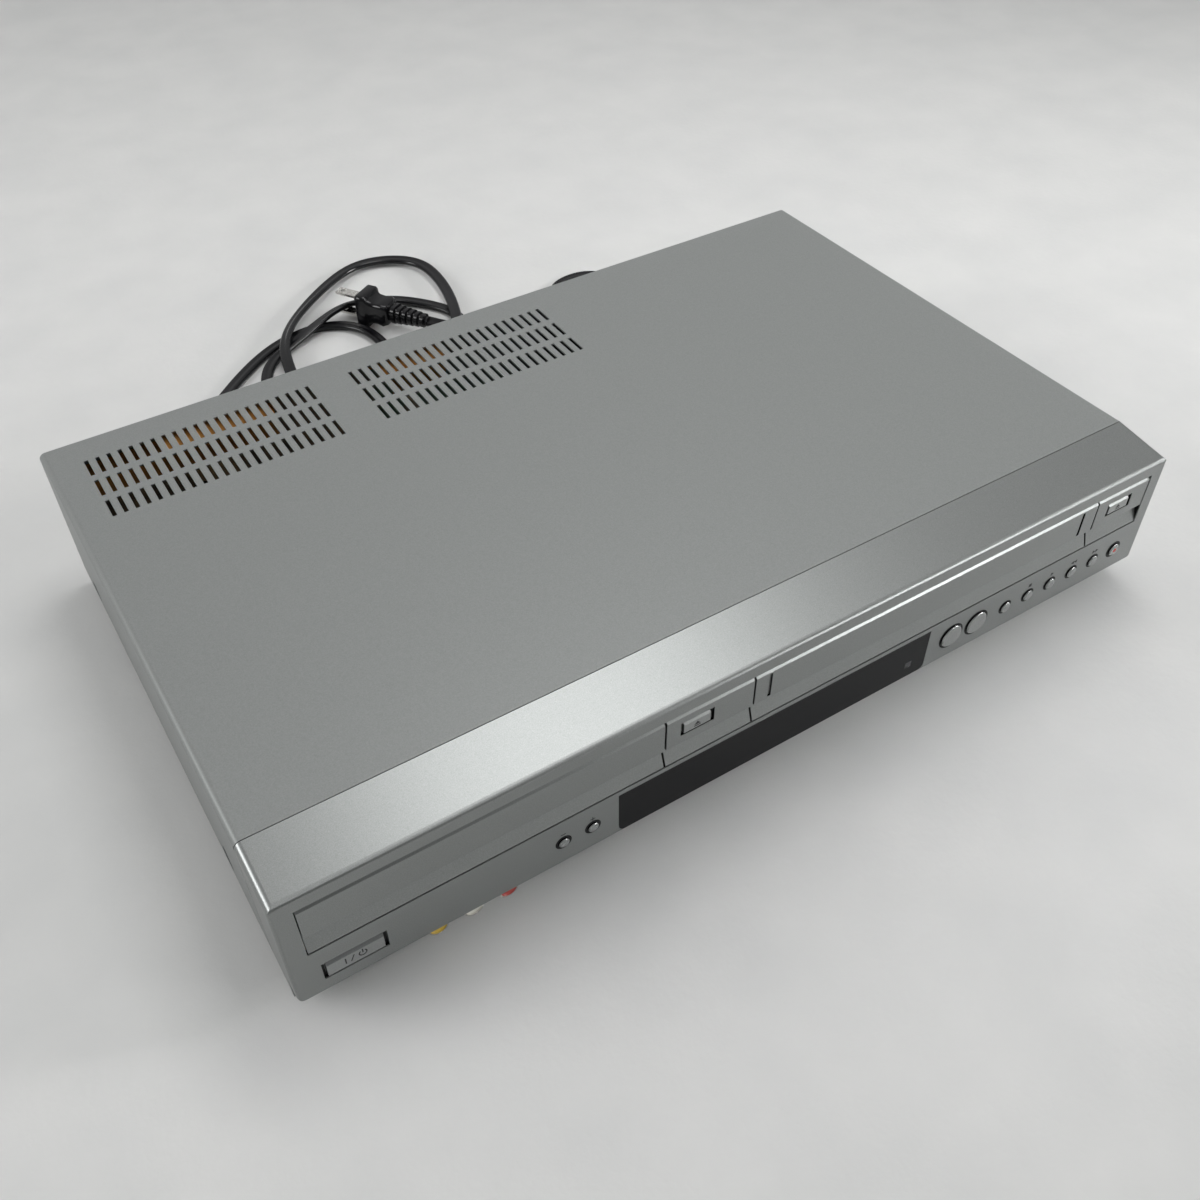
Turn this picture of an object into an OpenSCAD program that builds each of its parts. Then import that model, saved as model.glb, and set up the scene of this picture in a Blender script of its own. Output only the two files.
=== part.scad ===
// Disc and tape combination player: a sheet steel case with a moulded front, a sliding disc tray
// on the left, a cassette deck on the right, and the boards that drive them.
// X runs left to right seen from the front, Y runs from front to back, Z is up.

/* [Case] */
// Overall width of the case
case_w = 430; // [424:1:440]
// Depth from the front face to the back of the cover
case_d = 276.5; // [272:0.5:290]
// Height from the floor to the top of the cover
case_h = 78.5; // [77.5:0.5:84]
// Height of the feet
foot_h = 7; // [6:0.5:8]
// Radius of a foot
foot_r = 14; // [10:1:18]
// Thickness of the cover and the rear panel
sheet_t = 0.8; // [0.6:0.1:1.2]
// Thickness of the bottom plate
plate_t = 1; // [0.8:0.1:1.4]
// Bend radius along the top edges of the cover
edge_r = 3; // [2:0.5:4]

/* [Front moulding] */
// Height of the front face's bottom edge above the floor
face_z = 15; // [14:0.5:16]
// Height of the front face
face_h = 59.6; // [59:0.2:62]
// Depth of the strip that tops the front moulding
strip_d = 27.4; // [24:0.2:32]
// Wall of the front moulding
wall_t = 2.6; // [2.2:0.1:2.8]
// How far the lower skirt stands back from the face
setback = 9; // [8.5:0.5:9.5]
// How far the lower skirt hangs below the face
skirt_drop = 9.4; // [9.2:0.1:9.8]

/* [Doors] */
// Margin between the case side and the door band
band_margin = 8; // [6:0.5:10]
// Bottom of the door band above the face's bottom edge
band_z = 25.3; // [25:0.1:26]
// Height of the door band
band_h = 27.5; // [27:0.1:28]
// Width of the disc tray's door
tray_door_w = 147.3; // [145:0.5:152]
// Width of the fixed panel between the doors
mid_panel_w = 41.9; // [38:0.5:44]
// Width of the fixed panel right of the cassette flap
side_panel_w = 33.3; // [30:0.5:36]
// Gap round a door
door_gap = 0.45; // [0.3:0.05:0.6]
// Depth of the finger groove along the doors
groove_d = 3.1; // [2.4:0.1:3.4]

/* [Display and buttons] */
// Width of the display window
window_w = 160.4; // [140:0.2:164]
// Height of the display window
window_h = 22; // [18:0.5:22.5]
// Width of the power button
power_w = 21.9; // [18:0.1:23]
// Width of an open or eject button
eject_w = 12.4; // [10:0.1:14]
// Radius of a source button
source_r = 5.9; // [5:0.1:6.2]
// Radius of a transport button
small_r = 2.9; // [2.4:0.1:3.2]
// Distance between transport buttons
small_pitch = 14.2; // [12:0.1:14.5]
// Travel of every button
press = 1.2; // [0.8:0.1:1.4]
// Clearance round a button
button_gap = 0.3; // [0.2:0.05:0.4]

/* [Vents] */
// Columns of slots in a bank
vent_cols = 22; // [16:1:22]
// Rows of slots in a bank
vent_rows = 3; // [1:1:4]
// Distance between slots
vent_pitch = 5.05; // [4:0.05:5.05]
// Width of a slot
vent_w = 1.9; // [1.4:0.1:2.2]
// Length of a slot
vent_l = 12.3; // [8:0.1:13]

/* [Disc drive] */
// Width of the disc tray
tray_w = 132; // [130:1:134]
// Length of the disc tray
tray_l = 166; // [160:1:170]
// Thickness of the disc tray
tray_t = 7; // [6.5:0.5:8]
// Radius of the disc that the tray holds
disc_r = 60; // [60:0.5:60.5]
// Travel of the tray
tray_travel = 132; // [120:1:134]
// Teeth of the tray gear
gear_teeth = 20; // [18:1:20]
// Running clearance of a shaft in its bore
shaft_gap = 0.05; // [0.03:0.01:0.08]

/* [Cassette deck] */
// Width of a cassette
tape_w = 187; // [186:0.5:188]
// Thickness of a cassette
tape_t = 25; // [24.5:0.1:25.5]
// Distance between the reels
reel_pitch = 92; // [90:1:94]
// Radius of the head drum
drum_r = 31; // [28:0.5:31]
// Travel of the cassette holder inwards
load_in = 38; // [30:1:40]
// Travel of the cassette holder downwards
load_down = 12; // [8:0.5:12.5]

/* [Jacks and cord] */
// Outer radius of a phono jack's shell
rca_r = 4.15; // [4.1:0.05:4.2]
// Length of a phono jack's shell
rca_l = 8.3; // [8:0.1:9]
// Distance between stacked phono jacks
rca_pitch = 14; // [13:0.5:14.5]
// Outer radius of an aerial socket's thread
aerial_r = 4.7; // [4.6:0.05:4.8]
// How far an aerial socket stands out
aerial_l = 9.5; // [9:0.5:11]
// Width of the flat mains cord
cord_w = 7.2; // [6.8:0.1:7.4]
// Thickness of the flat mains cord
cord_t = 3.6; // [3.4:0.1:3.6]

/* [Hidden] */
$fn = 48;

// Datum planes. The origin is under the middle of the box that the player fills.
button_proud = 1;
face_y = -(case_d + aerial_l - button_proud - sheet_t) / 2;
back_y = face_y + case_d;
panel_y1 = back_y - sheet_t;
panel_y0 = panel_y1 - sheet_t;
floor_z = foot_h + plate_t;
inner_top = case_h - sheet_t;
half_w = case_w / 2;
face_top = face_z + face_h;
skirt_t = 2;

// Door band, from left to right.
band_x0 = -half_w + band_margin;
band_x1 = band_x0 + tray_door_w;
band_x2 = band_x1 + mid_panel_w;
band_x4 = half_w - band_margin;
band_x3 = band_x4 - side_panel_w;
band_z0 = face_z + band_z;
band_z1 = band_z0 + band_h;
door_y = face_y + 0.3;
door_t = 2.4;
ledge_z = band_z0 + 10.2;
bevel_h = 2;
bevel_d = 1.7;
tray_cx = (band_x0 + band_x1) / 2;
deck_cx = (band_x2 + band_x3) / 2;

// Flap pivot, behind the strip above the band.
pivot_y = face_y + 4.6;
pivot_z = band_z1 + 3.4;
pivot_r = 1.2;
pivot_len = 3;
lug_r = 1.8;
lug_t = 2;
boss_t = 3.4;

// Front layout. The record button is placed from the case's right side and the rest from their
// neighbours, and the heights from the face's bottom edge or the door band.
record_x = half_w - 17.1;
small_x0 = record_x - 71.2;
source_x = [small_x0 - 33.1, small_x0 - 17.9];
window_x = source_x[0] - 14.1 - window_w;
channel_x = [window_x - 24.9, window_x - 11.8];
window_z = face_z + 1;
window_t = 2.2;
window_r = 3;
power_x = -half_w + 23.6;
power_z = face_z + 6.5;
power_h = 7.3;
power_pocket = [25, 9.6];
open_x = band_x1 + 14.7;
eject_x = band_x3 + 15.3;
eject_z = band_z0 + 14.7;
eject_h = 5.5;
eject_pocket = [15.6, 6.9];
pocket_d = 1.3;
small_z = face_z + 12.3;
record_r = 3.3;
channel_r = 2.4;
flange_w = 1.2;
stem_r = 1.4;

// Boards.
board_z = floor_z + 4;
board_t = 1.6;
front_board_y = face_y + setback + 4;
switch_h = 1.6;
split_x = band_x1 + 4;

// Disc drive. The tray slides on the loader frame, over the traverse.
disc_y = face_y + 76;
tray_y0 = face_y + 6;
tray_z0 = face_z + 33;
tray_z1 = tray_z0 + tray_t;
well_d = 3;
well_z = tray_z1 - well_d;
slot_half = 19;
frame_gap = 0.4;
frame_wall = 3;
frame_x0 = tray_cx - tray_w / 2 - frame_gap - frame_wall;
frame_x1 = tray_cx + tray_w / 2 + frame_gap + frame_wall;
frame_y0 = face_y + 16;
frame_y1 = tray_y0 + tray_l + 5;
frame_z0 = tray_z0 - 18;
frame_z1 = tray_z1 + 7;
rail_t = 2;
rack_x = tray_cx - 44;
rack_h = 4;
gear_module = 1;
gear_pr = gear_teeth * gear_module / 2;
gear_x = rack_x + gear_pr + 0.1;
gear_y = face_y + 30;
gear_z = tray_z0 - rack_h;
pillar_r = 2;
traverse_z = tray_z0 - 12;
traverse_t = 4;
traverse_y0 = disc_y - 24;
traverse_y1 = disc_y + 90;
hinge_y = traverse_y1 - 4;
hinge_r = 1.5;
spindle_r = 1;
spin_top = well_z + 1;
rod_r = 1.5;
guide_x = 24;
guide_z = traverse_z + traverse_t + 2;
sled_y0 = disc_y + 18.5;
sled_l = 20;
lens_y = sled_y0 + 6;
bridge_z = tray_z1 + 4;
bridge_t = 2;
clamp_r = 15;

// Cassette deck. A holder slides in between two brackets and then drops onto the reels.
deck_z = face_z + 8;
deck_t = 1.5;
deck_y0 = face_y + 20;
deck_y1 = face_y + 206;
bracket_t = 1.2;
bracket_y0 = face_y + 38;
bracket_y1 = face_y + 132;
bracket_z1 = inner_top - 5;
slide_gap = 0.3;
slide_t = 1;
holder_half = tape_w / 2 + 0.5;
holder_t = 0.8;
deck_half = holder_half + holder_t + 2 * slide_gap + slide_t + bracket_t;
holder_y0 = face_y + 39;
holder_l = 46;
holder_z0 = band_z0 + 0.2;
holder_z1 = holder_z0 + holder_t + tape_t + 0.4 + holder_t;
slide_z0 = holder_z0 + 4;
slide_z1 = holder_z1 - 2;
rail_z = slide_z1 - 5;
reel_y = face_y + 82;
reel_r = 18;
drum_y = face_y + 164;
drum_tilt = 5;
drum_z = deck_z + deck_t + 9;
capstan_x = deck_cx + 48;
capstan_y = drum_y - 20;
capstan_r = 1.5;
wheel_r = 21;
roller_r = 5.5;

// Rear jacks and aerial sockets. Each stack is x, then the colours from the top down.
rca_core_r = 3.45;
rca_shell_t = 0.65;
rca_collar_r = 5.2;
rca_hole_r = 5.5;
front_rca_z = face_z - 5;
front_rca_x = [-half_w + 56, -half_w + 71, -half_w + 86];
front_rca_y = face_y + 3.2;
jack_base_x = [front_rca_x[0] - 6, front_rca_x[2] + 6];
jack_base_l = 6;
stack_z = face_z + 39;
stack_x = [half_w - 65, half_w - 91, half_w - 117, half_w - 143];
stack_colours = [["yellow", "white", "red"], ["yellow", "white", "red"], ["none", "white", "red"],
    ["green", "blue", "red"]];
svideo_x = stack_x[3] - 23;
block_x0 = svideo_x - 11;
block_x1 = stack_x[0] + 10;
block_d = 12;
tuner_x = half_w - 25;
tuner_w = 22;
tuner_d = 46;
aerial_z = [face_z + 13, face_z + 37];

// Mains cord: the points it runs through, from the bush to the plug, lying on the floor.
cord_x = -150;
cord_z = 30;
bush_r = 5.4;
cord_route = [
    [-150, 170, 22], [-148, 192, 8.5], [-134, 209, 3.2], [-108, 208, 2.1], [-62, 181, 2],
    [6, 173, 2.1], [45, 236, 5.8], [61, 292, 5.1], [56, 329, 4], [21, 342, 4],
    [-27, 309, 5.6], [-56, 271, 7.6], [-68, 222, 6.2], [-86, 186, 6.2], [-114, 184, 6.8],
    [-129, 209, 7.1], [-102, 248, 2.7], [-62, 280, 1.9], [-26, 287, 1.9], [-5, 267, 3.4],
    [-4, 230, 2.4], [-28, 200, 1.9], [-62, 202, 1.9], [-80, 230, 1.9], [-70, 262, 2.2],
    [-39, 280, 4.8], [-6, 292, 8.3], [27, 288, 3.6], [52, 258, 1.9], [50, 220, 1.9],
    [64, 192, 1.8], [92, 190, 1.8], [108, 220, 1.8], [124, 248, 1.8], [150, 249, 1.9],
    [164, 222, 3.2], [144, 199, 5], [98, 202, 6.6], [50, 217, 9.8], [28, 241, 11.1]
];
cord_steps = 2;
cord_sides = 8;
plug_dir = 123;
plug_flange = [7, 22, 18];
plug_grip = [15, 15, 16];
blade_gap = 12.7;
blade_size = [17.5, 1.5, 6.3];

// Shapes in use below.
module box_at(x, y, z) {
    translate([x[0], y[0], z[0]]) cube([x[1] - x[0], y[1] - y[0], z[1] - z[0]]);
}

module rod_y(x, y, z, r) {
    translate([x, y[0], z]) rotate([-90, 0, 0]) cylinder(r = r, h = y[1] - y[0]);
}

module rod_x(x, y, z, r) {
    translate([x[0], y, z]) rotate([0, 90, 0]) cylinder(r = r, h = x[1] - x[0]);
}

module rod_z(x, y, z, r) {
    translate([x, y, z[0]]) cylinder(r = r, h = z[1] - z[0]);
}

// A profile drawn in Y and Z, run along X.
module along_x(x) {
    translate([x[0], 0, 0]) rotate([90, 0, 90]) linear_extrude(x[1] - x[0]) children();
}

// A profile drawn in X and Z, run along Y.
module along_y(y) {
    translate([0, y[1], 0]) rotate([90, 0, 0]) linear_extrude(y[1] - y[0]) children();
}

// A cap seen from the front, turned round Y: its profile is radius against depth.
module turned_y(x, z, profile) {
    translate([x, 0, z]) rotate([-90, 0, 0]) rotate_extrude() polygon(profile);
}

// ---- Case ----

module cover_outline(inset) {
    w = half_w - inset;
    r = max(edge_r - inset, 0.6);
    top = case_h - inset;
    translate([-w, 0]) square([2 * w, top - r]);
    translate([-w + r, 0]) square([2 * (w - r), top]);
    for (s = [-1, 1]) translate([s * (w - r), top - r]) circle(r);
}

dish_d = 1.6;
dish_r = 5.5;
flange_x = half_w - sheet_t - dish_d;
skirt_z = floor_z + 1;
side_screw_y = [face_y + 70, back_y - 30];
side_screw_z = floor_z + 9;
lip_h = 10;
lip_screw_x = [-half_w + 65, 0, half_w - 65];
lip_screw_z = case_h - 6;
cover_y0 = face_y + strip_d + 0.4;

module vent_slots() {
    for (x0 = [-half_w + 17, band_x1 - 9.4])
        for (i = [0 : vent_cols - 1])
            for (j = [0 : vent_rows - 1])
                translate([x0 + i * vent_pitch - vent_w / 2,
                    back_y - 22.35 - j * 16.5 - vent_l / 2, inner_top - 1])
                    cube([vent_w, vent_l, sheet_t + 2]);
}

module top_cover() {
    color([0.52, 0.54, 0.54]) difference() {
        union() {
            along_y([cover_y0, back_y]) difference() {
                cover_outline(0);
                cover_outline(sheet_t);
                translate([-half_w - 1, -1]) square([case_w + 2, skirt_z + 1]);
            }
            box_at([-half_w + 8, half_w - 8], [panel_y1, back_y], [case_h - lip_h, inner_top]);
            for (s = [-1, 1]) for (y = side_screw_y)
                rod_x([s > 0 ? flange_x : -half_w + sheet_t, s > 0 ? half_w - sheet_t : -flange_x],
                    y, side_screw_z, dish_r + sheet_t);
        }
        for (s = [-1, 1]) for (y = side_screw_y) {
            rod_x([s > 0 ? half_w - dish_d : -half_w - 1, s > 0 ? half_w + 1 : -half_w + dish_d],
                y, side_screw_z, dish_r);
            rod_x([s > 0 ? flange_x - 1 : -half_w, s > 0 ? half_w : -flange_x + 1],
                y, side_screw_z, 1.7);
        }
        for (x = lip_screw_x) rod_y(x, [panel_y1 - 1, back_y + 1], lip_screw_z, 1.7);
        vent_slots();
    }
}

post_xy = [
    [deck_cx - 84, face_y + 30], [deck_cx + 84, face_y + 30], [deck_cx - 84, deck_y1 - 10],
    [deck_cx + 84, deck_y1 - 10], [frame_x0 + 6, frame_y0 + 20], [frame_x1 - 6, frame_y0 + 20],
    [frame_x0 + 6, frame_y1 - 8], [frame_x1 - 6, frame_y1 - 8]
];
spacer_xy = [
    [split_x + 6, back_y - 14], [half_w - 12, back_y - 14], [split_x + 6, face_y + 60],
    [half_w - 12, face_y + 60], [-half_w + 12, back_y - 14], [-half_w + 12, frame_y1 + 16],
    [split_x - 12, back_y - 14], [split_x - 12, frame_y1 + 16]
];
bottom_y0 = face_y + setback + skirt_t;
plate_flange_h = 16;

module bottom_plate() {
    color([0.62, 0.63, 0.62]) difference() {
        union() {
            box_at([-flange_x, flange_x], [bottom_y0, panel_y0], [foot_h, floor_z]);
            for (s = [-1, 1])
                box_at([s > 0 ? flange_x - plate_t : -flange_x, s > 0 ? flange_x : -flange_x + plate_t],
                    [bottom_y0, panel_y0], [foot_h, floor_z + plate_flange_h]);
            for (p = spacer_xy) rod_z(p[0], p[1], [foot_h, board_z], 3);
            for (p = post_xy)
                rod_z(p[0], p[1], [foot_h, p[0] > split_x ? deck_z : frame_z0], 3.5);
        }
        for (s = [-1, 1]) for (y = side_screw_y)
            rod_x([s > 0 ? flange_x - 4 : -flange_x - 1, s > 0 ? flange_x + 1 : -flange_x + 4],
                y, side_screw_z, 1.55);
        box_at([jack_base_x[0] - 0.3, jack_base_x[1] + 0.3],
            [bottom_y0 - 1, front_root + jack_base_l + 0.3], [foot_h - 1, floor_z + 1]);
        for (s = [-1, 1]) for (i = [0 : 7]) {
            x = s * 120 + i * 9 - 31;
            box_at([x, x + 3], [20, 60], [foot_h - 1, floor_z + 1]);
        }
    }
}

module rear_panel() {
    color([0.55, 0.56, 0.56]) difference() {
        along_y([panel_y0, panel_y1]) intersection() {
            cover_outline(sheet_t + 0.1);
            translate([-half_w, foot_h]) square([case_w, case_h]);
        }
        for (i = [0 : len(stack_x) - 1]) for (j = [0 : 2])
            if (stack_colours[i][j] != "none")
                rod_y(stack_x[i], [panel_y0 - 1, panel_y1 + 1], stack_z - j * rca_pitch, rca_hole_r);
        rod_y(svideo_x, [panel_y0 - 1, panel_y1 + 1], stack_z - rca_pitch, 6.2);
        for (z = aerial_z) rod_y(tuner_x, [panel_y0 - 1, panel_y1 + 1], z, 6.6);
        rod_y(cord_x, [panel_y0 - 1, panel_y1 + 1], cord_z, bush_r + 0.1);
        for (x = lip_screw_x) rod_y(x, [panel_y0 - 1, panel_y1 + 1], lip_screw_z, 1.55);
    }
}

foot_inset = 45;
foot_front = 42;
foot_back = 36;
foot_x = half_w - foot_inset;
foot_y = [face_y + foot_front, back_y - foot_back];

module feet() {
    color([0.13, 0.13, 0.13]) for (x = [-foot_x, foot_x]) for (y = foot_y)
        translate([x, y, 0]) rotate_extrude() polygon([
            [0, 1], [foot_r - 5, 1], [foot_r - 4, 0], [foot_r - 1.5, 0], [foot_r, 1.5],
            [foot_r - 0.8, foot_h], [0, foot_h]
        ]);
}

module screw_y(x, y, z) {
    turned_y(x, z, [[0, y - 8], [1.4, y - 8], [1.5, y - 7.5], [1.5, y], [3.1, y], [3.1, y + 1],
        [2.2, y + 1.9], [0.9, y + 1.9], [0.9, y + 1], [0, y + 1]]);
}

module case_screws() {
    color([0.3, 0.3, 0.31]) {
        for (x = lip_screw_x) screw_y(x, back_y, lip_screw_z);
        for (s = [-1, 1]) for (y = side_screw_y)
            translate([s * (half_w - dish_d), y, side_screw_z]) rotate([0, s * 90, 0]) {
                difference() {
                    cylinder(r = 3.1, h = 1.4);
                    translate([0, 0, 0.8]) cylinder(r = 1, h = 1);
                }
                translate([0, 0, -7]) cylinder(r = 1.5, h = 7);
            }
    }
}

// ---- Front moulding and doors ----

// Section of a door: a bevelled top, a flat face, and a finger groove below.
module door_section() {
    polygon([
        [door_y + bevel_d, band_z1 - door_gap], [door_y, band_z1 - door_gap - bevel_h],
        [door_y, ledge_z], [door_y + groove_d, ledge_z], [door_y, band_z0 + door_gap],
        [door_y + door_t, band_z0 + door_gap], [door_y + groove_d + door_t - 0.4, ledge_z - 1.5],
        [door_y + groove_d + door_t - 0.4, ledge_z + 2], [door_y + door_t, ledge_z + 2],
        [door_y + door_t, band_z1 - door_gap]
    ]);
}

nose_r = 2;
strip_tilt = atan((case_h - face_top - 0.1) / (strip_d - nose_r));
corner_r = 3;
front_r = 1.5;
hook_t = 1.2;

module bezel_section() {
    back = face_y + setback + skirt_t;
    polygon([
        [face_y, face_z], [face_y, face_top - nose_r], [face_y + 0.15, face_top - nose_r + 0.8],
        [face_y + 0.6, face_top - 0.55], [face_y + 1.2, face_top - 0.15], [face_y + nose_r, face_top + 0.1],
        [face_y + strip_d, case_h], [face_y + strip_d, case_h - 2.4], [face_y + 5, face_top - 1.2],
        [face_y + wall_t, face_top - 2], [face_y + wall_t, face_z + 2], [back, face_z + 2],
        [back, face_z - skirt_drop], [back - skirt_t, face_z - skirt_drop], [back - skirt_t, face_z]
    ]);
}

// The waste outside a rounded corner: s is the side, r the radius, z the level of the edge.
module edge_waste(s, r, z) {
    difference() {
        translate([s > 0 ? half_w - r : -half_w - 1, z - 1]) square([r + 1, r + 1]);
        translate([s * (half_w - r), z + r]) circle(r);
    }
}

module bezel_roundings(s) {
    along_y([face_y - 1, face_y + setback]) edge_waste(s, corner_r, face_z);
    translate([0, 0, face_z - 1]) linear_extrude(face_h + 6) edge_waste(s, front_r, face_y);
    translate([0, face_y + strip_d, case_h]) rotate([strip_tilt, 0, 0]) along_y([-strip_d - 8, 1])
        mirror([0, 1]) edge_waste(s, edge_r, 0);
}

module round_button_hole(x, z, r) {
    rod_y(x, [face_y - 1, face_y + wall_t + 0.5], z, r + button_gap);
}

module bezel_side(s) {
    along_x(s > 0 ? [flange_x, half_w] : [-half_w, -flange_x]) polygon([
        [face_y, face_z], [face_y, face_top - nose_r], [face_y + nose_r, face_top],
        [face_y + strip_d, case_h], [face_y + strip_d, skirt_z],
        [face_y + setback, face_z - skirt_drop + 2], [face_y + setback, face_z]
    ]);
    box_at(s > 0 ? [flange_x - hook_t, flange_x] : [-flange_x, -flange_x + hook_t],
        [face_y + 12, face_y + strip_d + 6], [case_h - 30, case_h - 14]);
}

module fixed_panel(x0, x1) {
    along_x([x0, x1]) door_section();
    box_at([x0, x1], [face_y + wall_t, face_y + wall_t + 1.8], [band_z0 - 2, band_z0 + 4]);
    box_at([x0, x1], [face_y + wall_t, face_y + wall_t + 1.8], [band_z1 - 5, band_z1 + 2]);
}

module flap_boss(x0, x1) {
    difference() {
        box_at([x0, x1], [face_y + wall_t, pivot_y + 2.4], [pivot_z - 2.2, pivot_z + 2.2]);
        rod_x([x0 - 1, x1 + 1], pivot_y, pivot_z, pivot_r + shaft_gap);
    }
}

module button_pocket(x, z, size, w, h) {
    box_at([x - size[0] / 2, x + size[0] / 2], [face_y - 1, door_y + pocket_d], [z - 0.2, z + size[1]]);
    box_at([x - w / 2 - button_gap, x + w / 2 + button_gap], [face_y - 1, face_y + 12],
        [z, z + h + 2 * button_gap]);
}

// The window's outline, with rounded bottom corners.
module window_shape(inset) {
    x = [window_x + inset, window_x + window_w - inset];
    z = [window_z + inset, window_z + window_h - inset];
    translate([x[0], z[0] + window_r]) square([x[1] - x[0], z[1] - z[0] - window_r]);
    translate([x[0] + window_r, z[0]]) square([x[1] - x[0] - 2 * window_r, window_r + 1]);
    for (c = [x[0] + window_r, x[1] - window_r]) translate([c, z[0] + window_r]) circle(window_r);
}

module front_bezel() {
    color([0.68, 0.69, 0.68]) difference() {
        union() {
            difference() {
                union() {
                    along_x([-half_w, half_w]) bezel_section();
                    for (s = [-1, 1]) bezel_side(s);
                }
                box_at([band_x0, band_x4], [face_y - 1, face_y + wall_t], [band_z0, band_z1]);
            }
            fixed_panel(band_x1 + door_gap, band_x2 - door_gap);
            fixed_panel(band_x3 + door_gap, band_x4 + 1);
            flap_boss(band_x2 - boss_t, band_x2 - 0.1);
            flap_boss(band_x3 + 0.1, band_x3 + boss_t);
        }
        for (s = [-1, 1]) bezel_roundings(s);
        along_y([face_y - 1, face_y + wall_t]) window_shape(0);
        button_pocket(power_x, power_z, power_pocket, power_w, power_h);
        button_pocket(open_x, eject_z, eject_pocket, eject_w, eject_h);
        button_pocket(eject_x, eject_z, eject_pocket, eject_w, eject_h);
        for (x = channel_x) round_button_hole(x, small_z, channel_r);
        for (x = source_x) round_button_hole(x, small_z, source_r);
        for (i = [0 : 4]) round_button_hole(small_x0 + i * small_pitch, small_z, small_r);
        round_button_hole(record_x, small_z, record_r);
        box_at([front_rca_x[0] - 7, front_rca_x[2] + 7],
            [face_y + setback - 1, face_y + setback + skirt_t + 1], [face_z - skirt_drop - 1, face_z]);
    }
}

module display_window() {
    color([0.1, 0.1, 0.11]) along_y([face_y + 0.2, face_y + 0.2 + window_t]) window_shape(0.1);
}

module tray_door() {
    color([0.7, 0.71, 0.7]) {
        along_x([band_x0 + door_gap, band_x1 - door_gap]) door_section();
        box_at([tray_cx - 40, tray_cx + 40], [door_y + door_t, tray_y0], [tray_z0 + 1, tray_z1 - 1]);
    }
}

module cassette_flap() {
    x0 = band_x2 + door_gap;
    x1 = band_x3 - door_gap;
    color([0.7, 0.71, 0.7]) {
        difference() {
            along_x([x0, x1]) door_section();
            for (x = [x0 + 7.2, x1 - 8.6])
                box_at([x - 0.8, x + 0.8], [door_y - 1, door_y + 0.8], [ledge_z + 1, band_z1 - 3.4]);
        }
        for (x = [[x0, x0 + lug_t], [x1 - lug_t, x1]]) along_x(x) {
            translate([pivot_y, pivot_z]) circle(lug_r);
            translate([pivot_y - lug_r, band_z1 - 6]) square([2 * lug_r, pivot_z - band_z1 + 6]);
            translate([door_y + 1, band_z1 - 6]) square([3, 5]);
        }
        rod_x([x0 - pivot_len, x0 + 0.5], pivot_y, pivot_z, pivot_r);
        rod_x([x1 - 0.5, x1 + pivot_len], pivot_y, pivot_z, pivot_r);
        rod_x([x1 - lug_t - 7, x1 - lug_t + 0.5], pivot_y, pivot_z, pivot_r);
    }
}

// ---- Swept tubes ----

function unit(v) = v / norm(v);
function smooth_point(p, i, t) =
    let (a = p[max(i - 1, 0)], b = p[i], c = p[i + 1], d = p[min(i + 2, len(p) - 1)])
    0.5 * (2 * b + (c - a) * t + (2 * a - 5 * b + 4 * c - d) * t * t + (3 * b - a - 3 * c + d) * t * t * t);
function smooth_path(p, n) =
    concat([for (i = [0 : len(p) - 2]) for (k = [0 : n - 1]) smooth_point(p, i, k / n)], [p[len(p) - 1]]);
function heading(p, i) = unit(p[min(i + 1, len(p) - 1)] - p[max(i - 1, 0)]);
function flat_side(h) = unit(cross(h, [0, 0, 1]));
function ring(c, h, half_w, half_t, sides) =
    let (s = flat_side(h), u = cross(s, h))
    [for (k = [0 : sides - 1]) let (a = 360 * (k + 0.5) / sides)
        c + s * (half_w * cos(a) / cos(180 / sides)) + u * (half_t * sin(a) / cos(180 / sides))];

module swept(p, half_w, half_t, sides) {
    n = len(p);
    points = [for (i = [0 : n - 1]) each ring(p[i], heading(p, i), half_w, half_t, sides)];
    sides_faces = [for (i = [0 : n - 2]) for (k = [0 : sides - 1]) let (m = (k + 1) % sides)
        each [[i * sides + k, i * sides + m, (i + 1) * sides + m],
            [i * sides + k, (i + 1) * sides + m, (i + 1) * sides + k]]];
    first = [for (k = [0 : sides - 1]) sides - 1 - k];
    last = [for (k = [0 : sides - 1]) (n - 1) * sides + k];
    polyhedron(points, concat(sides_faces, [first, last]));
}

spring_r = 1.55;
spring_wire = 0.2;
spring_turns = 6;
spring_pitch = 0.7;

module flap_spring() {
    x0 = band_x3 - door_gap - lug_t - 1.2;
    coil = [for (i = [0 : spring_turns * 12]) let (a = 30 * i)
        [x0 - spring_pitch * i / 12, pivot_y + spring_r * cos(a), pivot_z + spring_r * sin(a)]];
    color([0.75, 0.75, 0.76]) swept(coil, spring_wire, spring_wire, 6);
}

// ---- Buttons ----

stem_tip = front_board_y - switch_h - press - 0.15;
door_back = door_y + door_t + 0.3;

// A round cap with a low dome, a flange behind the wall and a stem to its switch.
module round_button(x, r) {
    color([0.72, 0.73, 0.72]) turned_y(x, small_z, [
        [0, face_y - button_proud], [r * 0.2, face_y - button_proud], [r * 0.55, face_y - button_proud + 0.1],
        [r * 0.8, face_y - button_proud + 0.28], [r - 0.15, face_y - button_proud + 0.5],
        [r, face_y - button_proud + 0.75],
        [r, face_y + wall_t + 0.3], [r + flange_w, face_y + wall_t + 0.3],
        [r + flange_w, face_y + wall_t + 1.3], [stem_r, face_y + wall_t + 1.3], [stem_r, stem_tip],
        [0, stem_tip]
    ]);
}

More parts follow.
